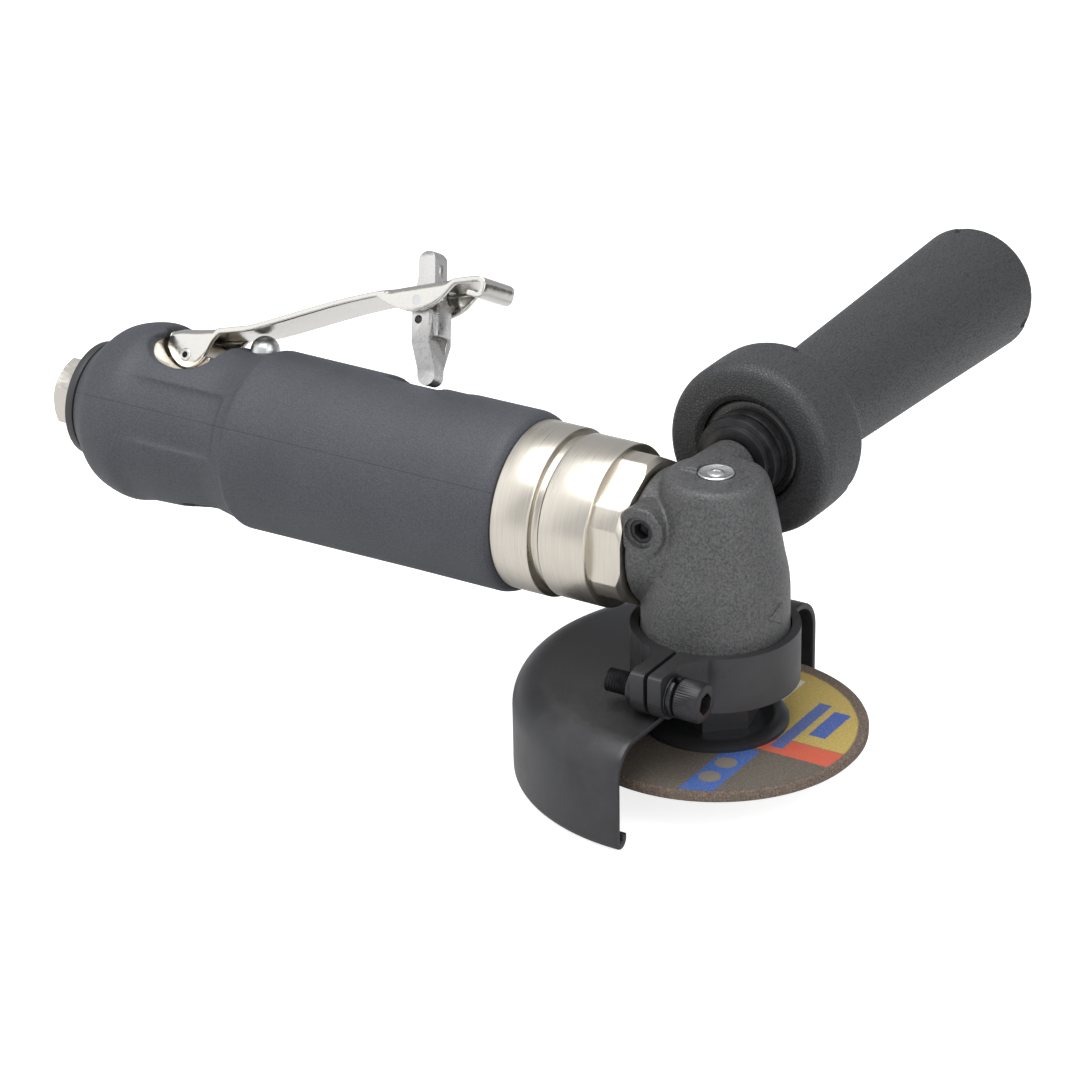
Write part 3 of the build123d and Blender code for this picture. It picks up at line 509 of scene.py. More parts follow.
# ---- Side handle -----------------------------------------------------------------------------
# Black moulded handle with a hand guard flange, leather grained. It is held by a stud into the
# head's boss, with steel washers and a rubber ring between to take the vibration.
def leather_grain():
    """Black plastic from a mould etched with a leather grain."""
    finish, tree, shader = new_finish("leather_grain", (0.022, 0.0225, 0.024), 0.0, 0.46)
    point = body_point(tree)
    bend = noise(tree, point, 500, 2.0)
    cells = add_node(tree, "ShaderNodeTexVoronoi", {"feature": "DISTANCE_TO_EDGE"}, Vector=point, Scale=1250.0)
    ridge = add_node(tree, "ShaderNodeMapRange", None, i0=cells.outputs["Distance"], i1=0.02, i2=0.22, i3=0.0, i4=1.0)
    level = add_node(tree, "ShaderNodeMath", {"operation": "MULTIPLY_ADD"}, i0=bend, i1=0.5, i2=ridge.outputs[0])
    tint(tree, shader, ridge.outputs[0], (0.02, 0.02, 0.021), (0.04, 0.041, 0.043))
    tree.links.new(spread(tree, ridge.outputs[0], 0.58, 0.42, 0, 1), shader.inputs["Roughness"])
    relief(tree, shader, level.outputs[0], 0.00007)
    return finish


HANDLE_AXIS = (-6, 0, 13.9)
handle_line = flowing([
    (26.6, 14.4), (26.2, 15.4), (26.2, 19.6), (26.9, 21.6), (28.8, 22.7), (32.0, 22.9), (41.0, 22.9), (44.0, 22.5),
    (46.4, 21.0), (48.4, 18.3), (51.0, 15.9), (55.0, 14.6), (62.0, 14.3), (80.0, 14.95), (110.0, 16.0),
    (148.0, 17.5), (152.0, 17.5), (154.8, 16.5), (156.3, 14.2), (156.9, 11.0),
], 4)
handle = turned([(35.2, 4.9), (35.2, 13.4), (27.4, 13.4)] + handle_line + [(156.9, 0), (66, 0), (66, 4.9)], "Y",
                steps=128, closed=False)
dimples = [(44.0, 22.6, a) for a in (12, 119, 240)] + [(151.0, 17.5, a) for a in (-11, 109, 229)]
for along, radius, angle in dimples:
    spot = bmesh.new()
    bmesh.ops.create_uvsphere(spot, u_segments=24, v_segments=12, radius=1.0)
    bmesh.ops.scale(spot, verts=spot.verts, vec=(1.5, 2.6, 1.3))
    bmesh.ops.translate(spot, verts=spot.verts, vec=(0, along, radius + 0.2))
    bmesh.ops.rotate(spot, verts=spot.verts, cent=(0, 0, 0), matrix=Matrix.Rotation(math.radians(angle), 3, "Y"))
    handle = combine(handle, spot)
bmesh.ops.translate(handle, verts=handle.verts, vec=HANDLE_AXIS)
piece("side_handle", handle, "housing", ["side_handle_grip"], leather_grain(), smooth_below=40)

RUBBER = smooth_black("black_rubber", 0.012, 0.3)
ring = turned([(27.9, 4.95), (27.9, 7.4), (27.3, 8.2), (27.3, 12.2), (28.2, 13.3), (35.1, 13.3), (35.1, 4.95)], "Y",
              closed=True)
bmesh.ops.translate(ring, verts=ring.verts, vec=HANDLE_AXIS)
piece("handle_damper", soften(ring, 0.3, 2), "housing", ["side_handle_damper"], RUBBER)

washers = turned([(19.05, 4.95), (19.05, 9.0), (20.6, 9.0), (20.6, 10.9), (23.6, 10.9), (23.6, 9.6), (24.4, 9.6),
                  (24.4, 11.0), (27.2, 11.0), (27.2, 4.95)], "Y", closed=True)
bmesh.ops.translate(washers, verts=washers.verts, vec=HANDLE_AXIS)
piece("handle_washers", soften(washers, 0.25, 2), "housing", ["side_handle_washers"], BLACK_STEEL)
piece("handle_stud", rod((-6, 8.6, 13.9), (-6, 65, 13.9), 4.8), "housing", ["side_handle_stud"],
      BLACK_STEEL)


# ---- Wheel, flanges and wheel screw ----------------------------------------------------------
# Resin-bonded cut-off wheel with a printed paper label on each face, clamped between a dished
# inner flange with a hexagon hub and a smaller outer flange by a socket screw from below.
flange = turned([(-44.9, 0), (-44.9, 13.5), (-44.6, 14.4), (-44.6, 16.6), (-45.6, 18.4), (-46.6, 18.4), (-46.6, 0)], "Z",
                steps=96)
hub = combine(hexagon(20, -45.2, -33.2, "Z", math.radians(14)),
              turned([(-46, 0), (-46, 13), (-35.0, 13), (-33.2, 10.4), (-33.2, 0)], "Z"), "INTERSECT")
flange = combine(flange, soften(hub, 0.25, 2, 30), "UNION")
flange = combine(flange, rod((0, 0, -47), (0, 0, -33), 5.0))
SATIN_BLACK = new_finish("satin_black", (0.055, 0.056, 0.06), 0.6, 0.3)[0]
piece("inner_flange", flange, "spindle", ["inner_flange"], SATIN_BLACK)

wheel = turned([(-46.6, 4.76), (-46.6, 36.9), (-47.0, 37.8), (-47.6, 38.08), (-49.0, 38.03), (-49.6, 37.5), (-49.8, 36.7),
                (-49.8, 4.76)], "Z", steps=160, closed=True)


def resin_wheel():
    """Sandy resin bond with abrasive grain, and the worn printed label on its faces."""
    finish, tree, shader = new_finish("resin_wheel", (0.2, 0.15, 0.11), 0.0, 0.8)
    point = body_point(tree, (1000, 1000, 1000), (SPINDLE_X, 0, 0))
    grain = noise(tree, point, 2.4, 3.0, 0.7)
    coarse = noise(tree, point, 0.75, 2.0)
    ragged = add_node(tree, "ShaderNodeVectorMath", {"operation": "SCALE"})
    tree.links.new(add_node(tree, "ShaderNodeTexNoise", None, Vector=point, Scale=1.9).outputs["Color"], ragged.inputs[0])
    ragged.inputs["Scale"].default_value = 0.7
    moved = add_node(tree, "ShaderNodeVectorMath", {"operation": "ADD"}, i0=point, i1=ragged.outputs[0])
    place = add_node(tree, "ShaderNodeSeparateXYZ", None, i0=moved.outputs[0])

    def between(value, low, high, edge=0.12):
        rise = add_node(tree, "ShaderNodeMapRange", None, i0=value, i1=low - edge, i2=low + edge, i3=0.0, i4=1.0)
        fall = add_node(tree, "ShaderNodeMapRange", None, i0=value, i1=high - edge, i2=high + edge, i3=1.0, i4=0.0)
        return add_node(tree, "ShaderNodeMath", {"operation": "MULTIPLY"}, i0=rise.outputs[0],
                        i1=fall.outputs[0]).outputs[0]

    def both(first, second):
        return add_node(tree, "ShaderNodeMath", {"operation": "MULTIPLY"}, i0=first, i1=second).outputs[0]

    def paint(under, mask, colour):
        node = add_node(tree, "ShaderNodeMix", {"data_type": "RGBA"}, i0=mask, i6=under, i7=(*colour, 1))
        return node.outputs[2]

    def far_from(centre):
        gap = add_node(tree, "ShaderNodeVectorMath", {"operation": "SUBTRACT"}, i0=moved.outputs[0], i1=(*centre, 0))
        flat = add_node(tree, "ShaderNodeVectorMath", {"operation": "MULTIPLY"}, i0=gap.outputs[0], i1=(1, 1, 0))
        return add_node(tree, "ShaderNodeVectorMath", {"operation": "LENGTH"}, i0=flat.outputs[0]).outputs["Value"]

    x, y = place.outputs["X"], place.outputs["Y"]
    height = add_node(tree, "ShaderNodeSeparateXYZ", None, i0=point).outputs["Z"]
    face = add_node(tree, "ShaderNodeMapRange", None, i0=height, i1=-46.75, i2=-46.65, i3=0.0, i4=1.0).outputs[0]
    bond = add_node(tree, "ShaderNodeMix", {"data_type": "RGBA"}, i0=spread(tree, grain, 0, 1, 0.35, 0.62),
                    i6=(0.05, 0.034, 0.026, 1), i7=(0.26, 0.19, 0.14, 1)).outputs[2]
    bond = add_node(tree, "ShaderNodeMix", {"data_type": "RGBA"}, i0=spread(tree, coarse, 0, 0.6),
                    i6=bond, i7=(0.11, 0.085, 0.07, 1)).outputs[2]
    label = paint(bond, spread(tree, grain, 0.75, 1.0), (0.075, 0.068, 0.056))
    label = paint(label, both(between(x, 7.0, 60), between(y, -0.4, 60)), (0.42, 0.31, 0.075))
    label = paint(label, both(between(x, 7.4, 10.4), between(y, 10, 29)), (0.58, 0.55, 0.47))
    label = paint(label, both(between(x, 12, 60), between(y, -8.2, -0.6)), (0.52, 0.075, 0.035))
    label = paint(label, both(between(x, 24.4, 29.0), between(y, 4.2, 18.2)), (0.03, 0.085, 0.33))
    label = paint(label, both(between(x, 19.0, 22.4), between(y, -5.5, 20.5)), (0.05, 0.1, 0.3))
    label = paint(label, both(between(x, 10.4, 18.4), between(y, -60, -9.5)), (0.02, 0.09, 0.34))
    for centre in ((14.0, -18.5), (14.0, -26.5)):
        label = paint(label, between(far_from(centre), -1, 2.7), (0.17, 0.15, 0.12))
    worn = paint(label, both(spread(tree, grain, 0, 0.55, 0.5, 0.6), face), (0.19, 0.15, 0.11))
    printed = both(face, between(far_from((0.9, -1.8)), -1, 35.8, 0.25))
    final = add_node(tree, "ShaderNodeMix", {"data_type": "RGBA"}, i0=printed, i6=bond, i7=worn)
    tree.links.new(final.outputs[2], shader.inputs["Base Color"])
    deep = add_node(tree, "ShaderNodeMapRange", None, i0=printed, i1=0.0, i2=1.0, i3=1.0, i4=0.45)
    level = add_node(tree, "ShaderNodeMath", {"operation": "MULTIPLY"}, i0=grain, i1=deep.outputs[0])
    relief(tree, shader, level.outputs[0], 0.0007)
    return finish


piece("cutoff_wheel", wheel, "spindle", ["cutoff_wheel"], resin_wheel())
outer = turned([(-49.8, 3.0), (-49.8, 14.0), (-51.2, 14.0), (-52.8, 12.4), (-52.8, 3.0)], "Z", closed=True)
piece("outer_flange", soften(outer, 0.3, 2), "spindle", ["outer_flange"], BLACK_STEEL)
screw = turned([(-55.8, 0), (-55.8, 5.3), (-55.1, 6.0), (-52.8, 6.0), (-52.8, 2.95), (-38.2, 2.95), (-38.2, 0)], "Z")
screw = combine(screw, hexagon(4, -56, -53.6, "Z"))
piece("wheel_screw", screw, "spindle", ["wheel_screw"], BLACK_STEEL)
shaft = turned([(-49.3, 3.1), (-49.3, 4.7), (-46.5, 4.7), (-46.5, 4.95), (-12.7, 4.95), (-12.7, 4.0), (-4, 4.0), (-4, 2.95),
                (9.5, 2.95), (9.5, 0), (-38, 0), (-38, 3.1)], "Z", closed=False)
piece("spindle_shaft", shaft, "spindle", ["spindle"], ZINC)


# ---- Guard and its clamp ---------------------------------------------------------------------
# Half guard pressed from sheet and blackened, with a hemmed lower rim, welded to a collar. A
# strap with bent ears clamps it to the head: socket screw, split lock washer and nut.
def sheet_black():
    """Blackened pressed sheet: duller than the machined parts, with faint draw marks."""
    finish, tree, shader = new_finish("sheet_black", (0.028, 0.028, 0.03), 0.5, 0.4)
    point = body_point(tree)
    cloud = noise(tree, point, 55, 4.0, 0.6)
    fine = noise(tree, point, 1900, 3.0)
    tree.links.new(spread(tree, cloud, 0.34, 0.5), shader.inputs["Roughness"])
    tint(tree, shader, spread(tree, cloud, 0, 1), (0.028, 0.028, 0.029), (0.05, 0.05, 0.053))
    relief(tree, shader, fine, 0.00003)
    return finish


SHEET = sheet_black()


def arc(centre, radius, start, end, count):
    """Points on a circle from one angle to another, in degrees from the first axis."""
    steps = [math.radians(start + (end - start) * i / count) for i in range(count + 1)]
    return [(centre[0] + radius * math.cos(t), centre[1] + radius * math.sin(t)) for t in steps]


outside = [(-32.7, 20.0)] + [(z, r) for r, z in arc((41.1, -41.7), 9.0, 90, 0, 14)] + [(-57.6, 50.08)]
hem_out = [(z, r) for r, z in arc((47.78, -57.6), 2.3, 0, -180, 14)]
hem_in = [(z, r) for r, z in arc((47.8, -57.6), 0.7, -180, 0, 8)]
inside = [(z, r) for r, z in arc((41.1, -41.7), 7.4, 0, 90, 14)] + [(-34.3, 20.0)]
shell = turned(outside + hem_out[1:] + [(-56.4, 45.5), (-56.4, 47.1)] + hem_in[1:] + inside, "Z", steps=160, closed=True)
shell = combine(shell, block((1.5, -60, -70), (60, 60, -20)))
soften(shell, 0.3, 2, 50)
band_low = turned([(-34.3, 18.8), (-34.3, 21.0), (-32.4, 21.0), (-32.4, 18.8)], "Z", steps=128, closed=True)
shell = combine(shell, band_low, "UNION")
piece("guard_shell", shell, "guard", ["guard_shell"], SHEET, smooth_below=40)


def ear(side):
    """Plan outline of one ear, from the strap's outside round the ear to its inside."""
    flare = arc((9.0, -24.2), 4.75, 83, 180, 8) if side < 0 else [(8.6, -19.15), (4.25, -24.6)]
    outline = [(12.0, -16.6)] + flare + [(4.25, -34.0), (0.55, -34.0), (0.55, -18.2), (6.0, -17.4), (10.0, -15.4)]
    return [(x * side, y) for x, y in outline]


strap = turned([(-32.4, 18.8), (-32.4, 21.0), (-19.9, 21.0), (-19.9, 18.8)], "Z", steps=128, closed=True)
for side in (-1, 1):
    outline = ear(side)
    lug = bmesh.new()
    face = lug.faces.new([lug.verts.new((x, y, -32.4)) for x, y in outline])
    grown = bmesh.ops.extrude_face_region(lug, geom=[face])
    bmesh.ops.translate(lug, verts=[v for v in grown["geom"] if isinstance(v, bmesh.types.BMVert)], vec=(0, 0, 12.5))
    bmesh.ops.recalc_face_normals(lug, faces=lug.faces)
    low_corner = arc((-28.4, -26.8), 5.6, 180, 270, 10)
    top_corner = arc((-32.6, -21.3), 1.4, 90, 180, 5)
    profile = plate([(-14, -19.9)] + top_corner + low_corner + [(-14, -32.4)], 40, "YZ")
    strap = combine(strap, combine(lug, profile, "INTERSECT"), "UNION")
strap = combine(strap, turned([(-34, 0), (-34, 18.8), (-18, 18.8), (-18, 0)], "Z", steps=128))
strap = combine(strap, block((-0.55, -40, -36), (0.55, -15, -16)))
strap = combine(strap, rod((-6, -28.4, -26.5), (6, -28.4, -26.5), 3.05))
piece("clamp_band", soften(strap, 0.28, 2, 40), "guard", ["clamp_band"], SHEET, smooth_below=40)

CLAMP = (0, -28.4, -26.5)
screw = turned([(6.8, 0), (6.8, 4.6), (7.2, 5.0), (12.5, 5.0), (13.1, 4.6), (13.3, 4.0), (13.3, 0)], steps=96)
for vert in screw.verts:
    # Knurl: every other lengthwise line of the head's side stands in a little.
    angle = math.atan2(vert.co.z, vert.co.y)
    if vert.co.yz.length > 4.9 and round(angle / (2 * math.pi) * 96) % 2:
        vert.co.yz *= 0.975
screw = combine(screw, hexagon(5, 10.3, 14, turn=math.radians(12)))
shank = [(-13.5, 0), (-13.5, 2.3)]
for turn in range(9):
    shank += [(-13.1 + turn * 0.8, 2.95), (-12.7 + turn * 0.8, 2.45)]
screw = combine(screw, turned(shank + [(-5.8, 2.9), (7, 2.9), (7, 0)], steps=48), "UNION")
bmesh.ops.translate(screw, verts=screw.verts, vec=CLAMP)
piece("clamp_screw", screw, "guard", ["clamp_screw"], BLACK_STEEL)

washer = turned([(4.3, 3.05), (4.3, 5.2), (4.9, 5.2), (4.9, 3.05)], closed=True, steps=64)
split = turned([(4.95, 3.05), (4.95, 5.1), (6.15, 5.1), (6.15, 3.05)], closed=True, steps=64, angle=math.radians(344), rise=0.6)
bmesh.ops.rotate(split, verts=split.verts, cent=(0, 0, 0), matrix=Matrix.Rotation(math.radians(20), 3, "X"))
washer = combine(soften(washer, 0.15), soften(split, 0.12), "UNION")
bmesh.ops.translate(washer, verts=washer.verts, vec=CLAMP)
piece("clamp_washer", washer, "guard", ["clamp_washer"], BLACK_STEEL)

nut = turned([(-6.4, 3.0), (-6.4, 4.4), (-5.9, 5.2), (-4.25, 5.2), (-4.25, 3.0)], closed=True, steps=64)
bmesh.ops.translate(nut, verts=nut.verts, vec=CLAMP)
piece("clamp_nut", soften(nut, 0.15), "guard", ["clamp_nut"], BLACK_STEEL)


# ---- Throttle lever --------------------------------------------------------------------------
# Pressed from one strip of steel and bright nickel plated. Ears are bent down for the hollow
# pivot pin and for the lock-off's pin; the tip is turned down. It presses on the domed plunger.
def bright_nickel():
    """Bright nickel over pressed steel, slightly wavy."""
    finish, tree, shader = new_finish("bright_nickel", (0.66, 0.64, 0.6), 1.0, 0.16)
    point = body_point(tree)
    wave = noise(tree, point, 130, 2.0)
    fine = noise(tree, point, 1300, 3.0, 0.6)
    both = add_node(tree, "ShaderNodeMath", {"operation": "MULTIPLY_ADD"}, i0=fine, i1=0.12, i2=wave)
    tree.links.new(spread(tree, fine, 0.12, 0.26), shader.inputs["Roughness"])
    relief(tree, shader, both.outputs[0], 0.00012)
    return finish


BRIGHT = bright_nickel()
HALF_WIDTH, SHEET_THICK, FOLD = 7.8, 1.45, 2.2
plate_line = flowing([
    (-165.0, 21.6), (-161.5, 22.7), (-156.0, 23.7), (-150.5, 25.0), (-146.0, 26.2), (-141.4, 27.6), (-133.0, 31.4),
    (-124.7, 35.3), (-116.5, 39.0), (-108.2, 42.3), (-99.9, 45.3), (-91.0, 48.3), (-83.3, 50.8), (-79.5, 51.9),
    (-77.8, 52.15), (-76.4, 51.6), (-75.85, 50.4), (-75.8, 48.9), (-76.0, 47.8), (-76.7, 46.95), (-77.8, 46.7),
    (-79.2, 46.75), (-80.5, 46.8),
], 14)
pivot_ear = [(-165.0, 17.6), (-164.6, 16.4), (-163.3, 14.5), (-161.6, 13.3), (-159.8, 12.8), (-157.8, 12.9), (-156.2, 13.5),
             (-154.8, 14.7), (-153.6, 16.4), (-152.9, 18.4), (-152.2, 20.8), (-151.2, 22.6), (-149.8, 23.9), (-147.0, 25.6)]
lock_ear = [(-107.5, 42.2), (-105.0, 41.2), (-102.0, 40.3), (-99.0, 39.8), (-96.4, 39.6), (-94.0, 39.9), (-91.6, 40.9),
            (-89.6, 42.3), (-88.0, 43.9), (-86.8, 45.8), (-85.6, 47.8), (-84.4, 49.4), (-82.5, 50.6)]


def height_at(outline, x):
    """Height of an outline at x, or None beyond its ends."""
    for (x0, z0), (x1, z1) in zip(outline, outline[1:]):
        if x0 <= x <= x1:
            return z0 + (z1 - z0) * (x - x0) / (x1 - x0)
    return None


def strip_section(x, z, ahead, drop, tip):
    """Cross-section of the folded strip at a place along its line, as one closed loop of points."""
    slope = math.atan2(ahead[1], ahead[0])
    drop = max(drop, SHEET_THICK / math.cos(min(slope, 0.6))) if tip < 1 else SHEET_THICK
    under = Vector((0, 0, -SHEET_THICK / math.cos(min(0.6, abs(slope))))).lerp(
        Vector((math.sin(slope), 0, -math.cos(slope))) * SHEET_THICK, tip)
    down = Vector((0, 0, -1)).lerp(Vector((math.sin(slope), 0, -math.cos(slope))), tip).normalized()
    over = min(1, max(0, (drop - 1.9) / 2.4))
    fold = 0.35 + (FOLD - 0.35) * over
    inner = 0.12 + (FOLD - SHEET_THICK - 0.12) * over
    wall = HALF_WIDTH - SHEET_THICK
    turns = [math.radians(90 * i / 7) for i in range(8)]
    top = [((HALF_WIDTH - fold) * i / 5, 0.0) for i in range(5)]
    top += [(HALF_WIDTH - fold + fold * math.sin(t), fold - fold * math.cos(t)) for t in turns]
    outer = [(HALF_WIDTH, fold + (drop - 0.3 - fold) * i / 4) for i in range(1, 5)]
    outer += [(HALF_WIDTH - 0.09, drop - 0.09), (HALF_WIDTH - 0.3, drop)]
    depth = under.length
    room = max(drop - depth, 0)
    lower = [(wall + 0.3, drop), (wall + 0.09 * over, depth + max(room - 0.09, 0))]
    lower += [(wall, depth + inner * over + (room - 0.3 - inner * over) * i / 3 * over) for i in (3, 2, 1)]
    lower += [(wall - inner + inner * math.sin(t), depth + (inner - inner * math.cos(t)) * over) for t in reversed(turns)]
    lower += [((wall - inner) * i / 5, depth) for i in (4, 3, 2, 1, 0)]
    right = top + outer + lower
    loop = []
    for y, d in right + [(-y, d) for y, d in reversed(right[1:-1])]:
        shift = under * (d / depth) if d <= depth else under + down * (d - depth)
        loop.append((x + shift.x, y, z + shift.z))
    return loop


lever = bmesh.new()
rows = []
tip = 0.0
for place, (x, z) in enumerate(plate_line):
    drop = 0.0
    tip = max(tip, min(1, (x + 84) / 4))
    for outline in (pivot_ear, lock_ear):
        bottom = height_at(outline, x) if tip < 1 else None
        if bottom is not None:
            drop = max(drop, z - bottom)
    before, after = plate_line[max(place - 1, 0)], plate_line[min(place + 1, len(plate_line) - 1)]
    ahead = (after[0] - before[0], after[1] - before[1])
    rows.append([lever.verts.new(point) for point in strip_section(x, z, ahead, drop, tip)])
for first, second in zip(rows, rows[1:]):
    for i in range(len(first)):
        j = (i + 1) % len(first)
        lever.faces.new((first[i], first[j], second[j], second[i]))
lever.faces.new(rows[0])
lever.faces.new(rows[-1])
bmesh.ops.recalc_face_normals(lever, faces=lever.faces)
lever = combine(lever, block((-105.6, -3.6, 38.9), (-90.0, 3.6, 60)))
lever = combine(lever, rod((-159, -9, 16.2), (-159, 9, 16.2), 1.68, 32))
lever = combine(lever, rod((-94.2, -9, 42.9), (-94.2, 9, 42.9), 1.2, 32))
piece("throttle_lever", lever, "throttle", ["throttle_lever"], BRIGHT, rolled=True, smooth_below=40)

pin = turned([(-8.05, 0.85), (-8.05, 1.4), (-7.85, 1.6), (7.85, 1.6), (8.05, 1.4), (8.05, 0.85)], "Y", closed=True, steps=48)
bmesh.ops.translate(pin, verts=pin.verts, vec=(-159, 0, 16.2))
piece("lever_pin", pin, "housing", ["lever_pin"], ZINC, rolled=True)

dome = [(25.9 - 3.9 + 3.9 * math.sin(t), 3.9 * math.cos(t)) for t in [math.radians(90 * i / 12) for i in range(12)]]
plunger = turned([(1.55, 0), (1.55, 1.5), (6.5, 1.5), (6.5, 3.85)] + dome + [(25.9, 0)], "Z", steps=64)
bmesh.ops.translate(plunger, verts=plunger.verts, vec=(-140.2, 0, 0))
piece("valve_plunger", plunger, "plunger", ["valve_plunger"], ZINC, rolled=True)


# ---- Lock-off lever --------------------------------------------------------------------------
# Cast and plated prop that stands on the grip and keeps the throttle up until it is swung away.
# Its front pocket holds a torsion spring round the pin.
def lean(shape):
    """Stands a shape drawn about its pin in its leaning place under the lever."""
    place = Matrix.Translation((-94.2, 0, 42.9)) @ Matrix.Rotation(math.radians(-14), 4, "Y")
    bmesh.ops.transform(shape, matrix=place, verts=shape.verts)
    return shape


def satin_cast():
    """Satin plated casting."""
    finish, tree, shader = new_finish("satin_cast", (0.6, 0.59, 0.58), 1.0, 0.32)
    skin = noise(tree, body_point(tree), 1100, 3.0, 0.6)
    tree.links.new(spread(tree, skin, 0.22, 0.4), shader.inputs["Roughness"])
    relief(tree, shader, skin, 0.000025)
    return finish


SATIN = satin_cast()
side_view = arc((0, -18.5), 2.5, 180, 360, 10) + [(2.5, -2.0), (2.5, 3.0), (2.4, 11.2)] + arc((0, 11.2), 2.4, 0, 180, 10)
side_view += [(-2.4, 7.6), (-2.55, 6.4), (-3.2, 3.4), (-3.2, 2.2), (-2.5, 1.2)]
front_view = [(-2.4, -21.2), (2.4, -21.2), (2.4, -16.8), (5.7, -10.3), (5.7, -2.1), (3.1, -2.1), (3.1, 12.0), (2.4, 13.4),
              (1.6, 13.8), (-1.6, 13.8), (-2.4, 13.4), (-3.1, 12.0), (-3.1, -2.1), (-5.7, -2.1), (-5.7, -10.3), (-2.4, -16.8)]
prop = combine(plate(side_view, 14, "XZ"), plate(front_view, 12, "YZ"), "INTERSECT")
prop = combine(prop, rod((0, -3.1, 0), (0, 3.1, 0), 2.9), "UNION")
soften(prop, 0.32, 2, 40)
prop = combine(prop, soften(block((0.4, -3.6, -8.8), (4, 3.4, -0.2)), 0.5, 2))
prop = combine(prop, soften(block((1.7, -1.0, 6.6), (4, 1.0, 10.0)), 0.25, 2))
prop = combine(prop, rod((-4, -1.2, -6.2), (4, -1.2, -6.2), 1.0, 32))
prop = combine(prop, rod((-0.6, -7, -4.6), (-0.6, 7, -4.6), 1.1, 32))
prop = combine(prop, rod((0, -7, 0), (0, 7, 0), 1.28, 32))
piece("lock_off_lever", lean(prop), "lock_off", ["lock_off_lever"], SATIN, rolled=True, smooth_below=40)
piece("lock_off_pin", lean(rod((0, -7.75, 0), (0, 7.75, 0), 1.18)), "throttle", ["lock_off_pin"], ZINC,
      rolled=True)
coil = bmesh.new()
for turn in range(4):
    ring = turned([(3.7 + turn * 0.55 + 0.26 * math.cos(t), 1.48 + 0.26 * math.sin(t))
                   for t in [2 * math.pi * i / 10 for i in range(10)]], "Y", closed=True, steps=40)
    mesh = bpy.data.meshes.new("ring")
    ring.to_mesh(mesh)
    ring.free()
    coil.from_mesh(mesh)
piece("lock_off_spring", lean(coil), "throttle", ["lock_off_spring"], ZINC, rolled=True)


# ---- Speed regulator -------------------------------------------------------------------------
# Slotted brass screw in the recess under the grip; it throttles the air on its way to the motor.
brass, brass_tree, brass_shader = new_finish("brass", (0.62, 0.43, 0.17), 1.0, 0.32)
knob = turned([(-18.6, 0), (-18.6, 3.9), (-18.1, 4.4), (-15.8, 4.4), (-15.8, 2.9), (-8, 2.9), (-8, 0)], "Z", steps=64)
knob = combine(knob, block((-5, -0.6, -19), (5, 0.6, -17.2)))
bmesh.ops.translate(knob, verts=knob.verts, vec=(-147, 0, 0))
piece("speed_regulator", soften(knob, 0.12, 2, 45), "regulator", ["speed_regulator"], brass, rolled=True)


# ---- Parts inside ----------------------------------------------------------------------------
# Valve, vane motor, bearings, gears and seals are machined parts hidden in the closed tool. They
# keep their own simple shapes and only take the finish of what they are made of.
steel, steel_tree, steel_shader = new_finish("ground_steel", (0.55, 0.55, 0.56), 1.0, 0.25)
felt, felt_tree, felt_shader = new_finish("felt", (0.32, 0.3, 0.27), 0.0, 0.95)
iron, iron_tree, iron_shader = new_finish("cast_plate", (0.2, 0.2, 0.2), 0.9, 0.5)
fibre, fibre_tree, fibre_shader = new_finish("blade_fibre", (0.16, 0.09, 0.05), 0.0, 0.7)
inside = {
    "muffler": (felt, "felt"), "inlet_strainer": (steel, "bright_steel"), "tip_valve_seat": (brass, "brass"),
    "valve_spring": (steel, "bright_steel"), "plunger_bushing": (brass, "brass"), "plunger_seal": (RUBBER, "rubber"),
    "tip_valve": (brass, "brass"), "rear_bearing_plate": (iron, "cast_plate"), "rear_bearing": (steel, "bright_steel"),
    "cylinder": (steel, "ground_steel"), "front_bearing_plate": (iron, "cast_plate"),
    "front_bearing": (steel, "bright_steel"), "collar_seal": (RUBBER, "rubber"), "pinion_bearing": (steel, "bright_steel"),
    "bearing_spacer": (steel, "ground_steel"), "upper_spindle_bearing": (steel, "bright_steel"),
    "lower_spindle_bearing": (steel, "bright_steel"), "bearing_retainer": (steel, "ground_steel"),
    "spindle_seal": (RUBBER, "rubber"), "rotor": (steel, "ground_steel"), "rotor_blades": (fibre, "blade_fibre"),
    "bevel_pinion": (steel, "ground_steel"), "bevel_gear": (steel, "ground_steel"),
}
for node, (finish, slot) in inside.items():
    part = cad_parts[node]
    part.data.materials.clear()
    part.data.materials.append(finish)


# ---- Floor, light and camera -----------------------------------------------------------------
# Plain white sweep under the guard's rim, lit by one large soft box overhead and two weaker ones.
white, white_tree, white_shader = new_finish("white_floor", (0.68, 0.68, 0.68), 0.0, 0.9)
white_shader.inputs["Emission Color"].default_value = (1, 1, 1, 1)
seen = add_node(white_tree, "ShaderNodeLightPath").outputs["Is Camera Ray"]
glow = add_node(white_tree, "ShaderNodeMath", {"operation": "MULTIPLY"}, i0=seen, i1=0.8)
white_tree.links.new(glow.outputs[0], white_shader.inputs["Emission Strength"])
floor_mesh = bpy.data.meshes.new("floor")
floor_mesh.from_pydata([(-6, -6, -0.0603), (6, -6, -0.0603), (6, 6, -0.0603), (-6, 6, -0.0603)], [], [(0, 1, 2, 3)])
floor_mesh.materials.append(white)
floor = bpy.data.objects.new("floor", floor_mesh)
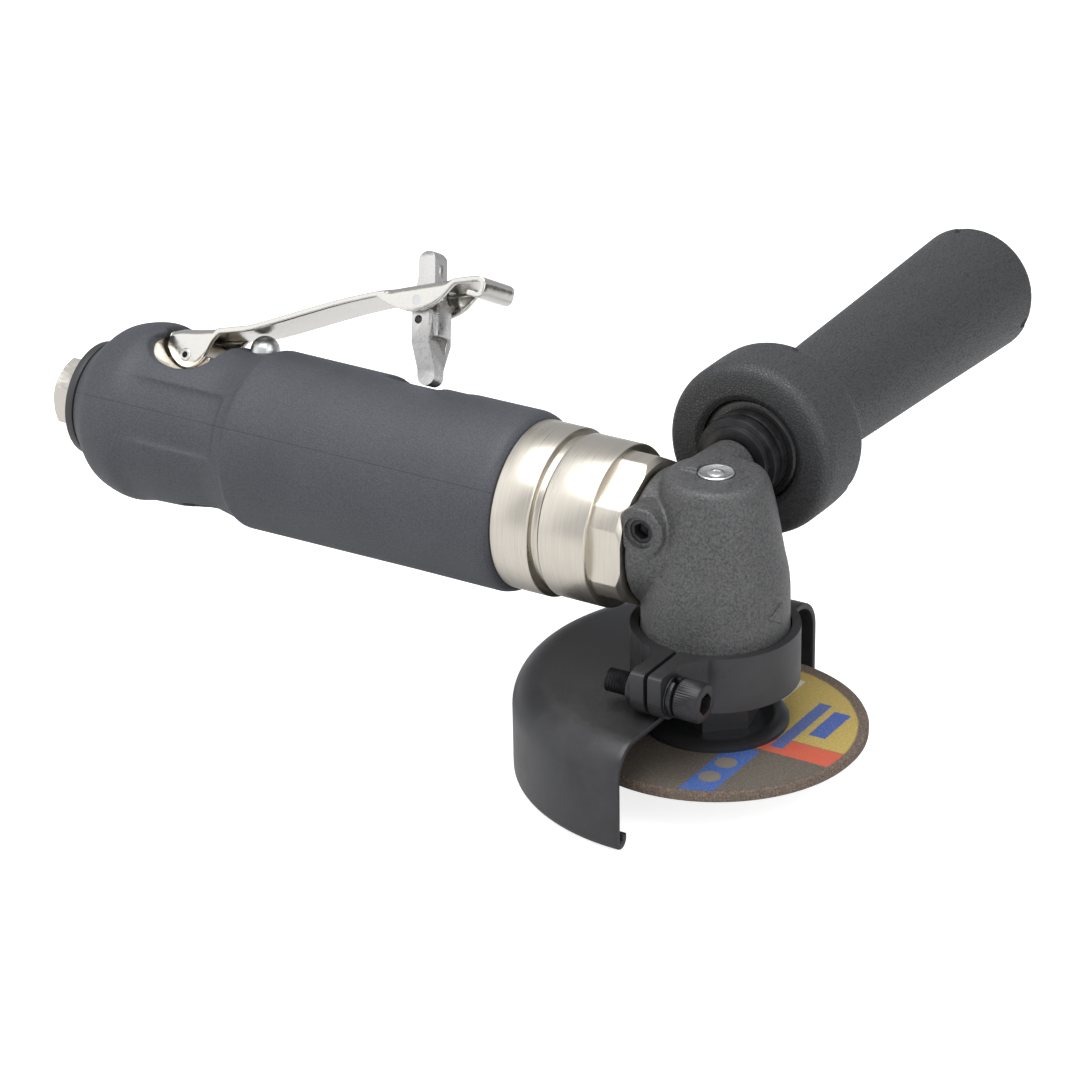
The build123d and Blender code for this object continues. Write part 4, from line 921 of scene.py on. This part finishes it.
bpy.context.scene.collection.objects.link(floor)

CENTRE = Vector((0.1, 0.03, 0.0))
for name, spot, size, power in (
    ("overhead", (0.0, -0.25, 1.15), 1.1, 17), ("left", (-0.9, -0.7, 0.45), 1.1, 3.4),
    ("right", (1.0, -0.35, 0.5), 0.7, 4.4), ("front", (0.25, -1.5, 0.25), 0.8, 2.2),
):
    lamp = bpy.data.lights.new(name, "AREA")
    lamp.size, lamp.energy = size, power
    lamp_object = bpy.data.objects.new(name, lamp)
    lamp_object.location = CENTRE + Vector(spot)
    lamp_object.rotation_euler = (-Vector(spot)).to_track_quat("-Z", "Y").to_euler()
    bpy.context.scene.collection.objects.link(lamp_object)

world = bpy.data.worlds.new("studio")
bpy.context.scene.world = world
world.use_nodes = True
world.node_tree.nodes["Background"].inputs["Color"].default_value = (0.95, 0.97, 1.0, 1)
world.node_tree.nodes["Background"].inputs["Strength"].default_value = 0.5
bpy.context.scene.view_settings.view_transform = "Standard"

AROUND, ABOVE, TILT, PAN, DROP = math.radians(29.307), math.radians(25.203), math.radians(0.277), 0.046, -0.002
back = Vector((math.sin(AROUND) * math.cos(ABOVE), -math.cos(AROUND) * math.cos(ABOVE), math.sin(ABOVE)))
across = Vector((math.cos(AROUND), math.sin(AROUND), 0))
upward = back.cross(across)
across, upward = (math.cos(TILT) * across + math.sin(TILT) * upward, math.cos(TILT) * upward - math.sin(TILT) * across)
back, across = back * math.cos(PAN) + across * math.sin(PAN), across * math.cos(PAN) - back * math.sin(PAN)
back, upward = back * math.cos(DROP) + upward * math.sin(DROP), upward * math.cos(DROP) - back * math.sin(DROP)
lens = bpy.data.cameras.new("camera")
lens.lens, lens.sensor_width = 127.33, 36
lens.clip_start, lens.clip_end = 0.05, 20
camera = bpy.data.objects.new("camera", lens)
axes = Matrix((across, upward, back)).transposed().to_4x4()
camera.matrix_world = Matrix.Translation((SPINDLE_X + 0.41033, -0.73098, 0.39452)) @ axes
bpy.context.scene.collection.objects.link(camera)
bpy.context.scene.camera = camera
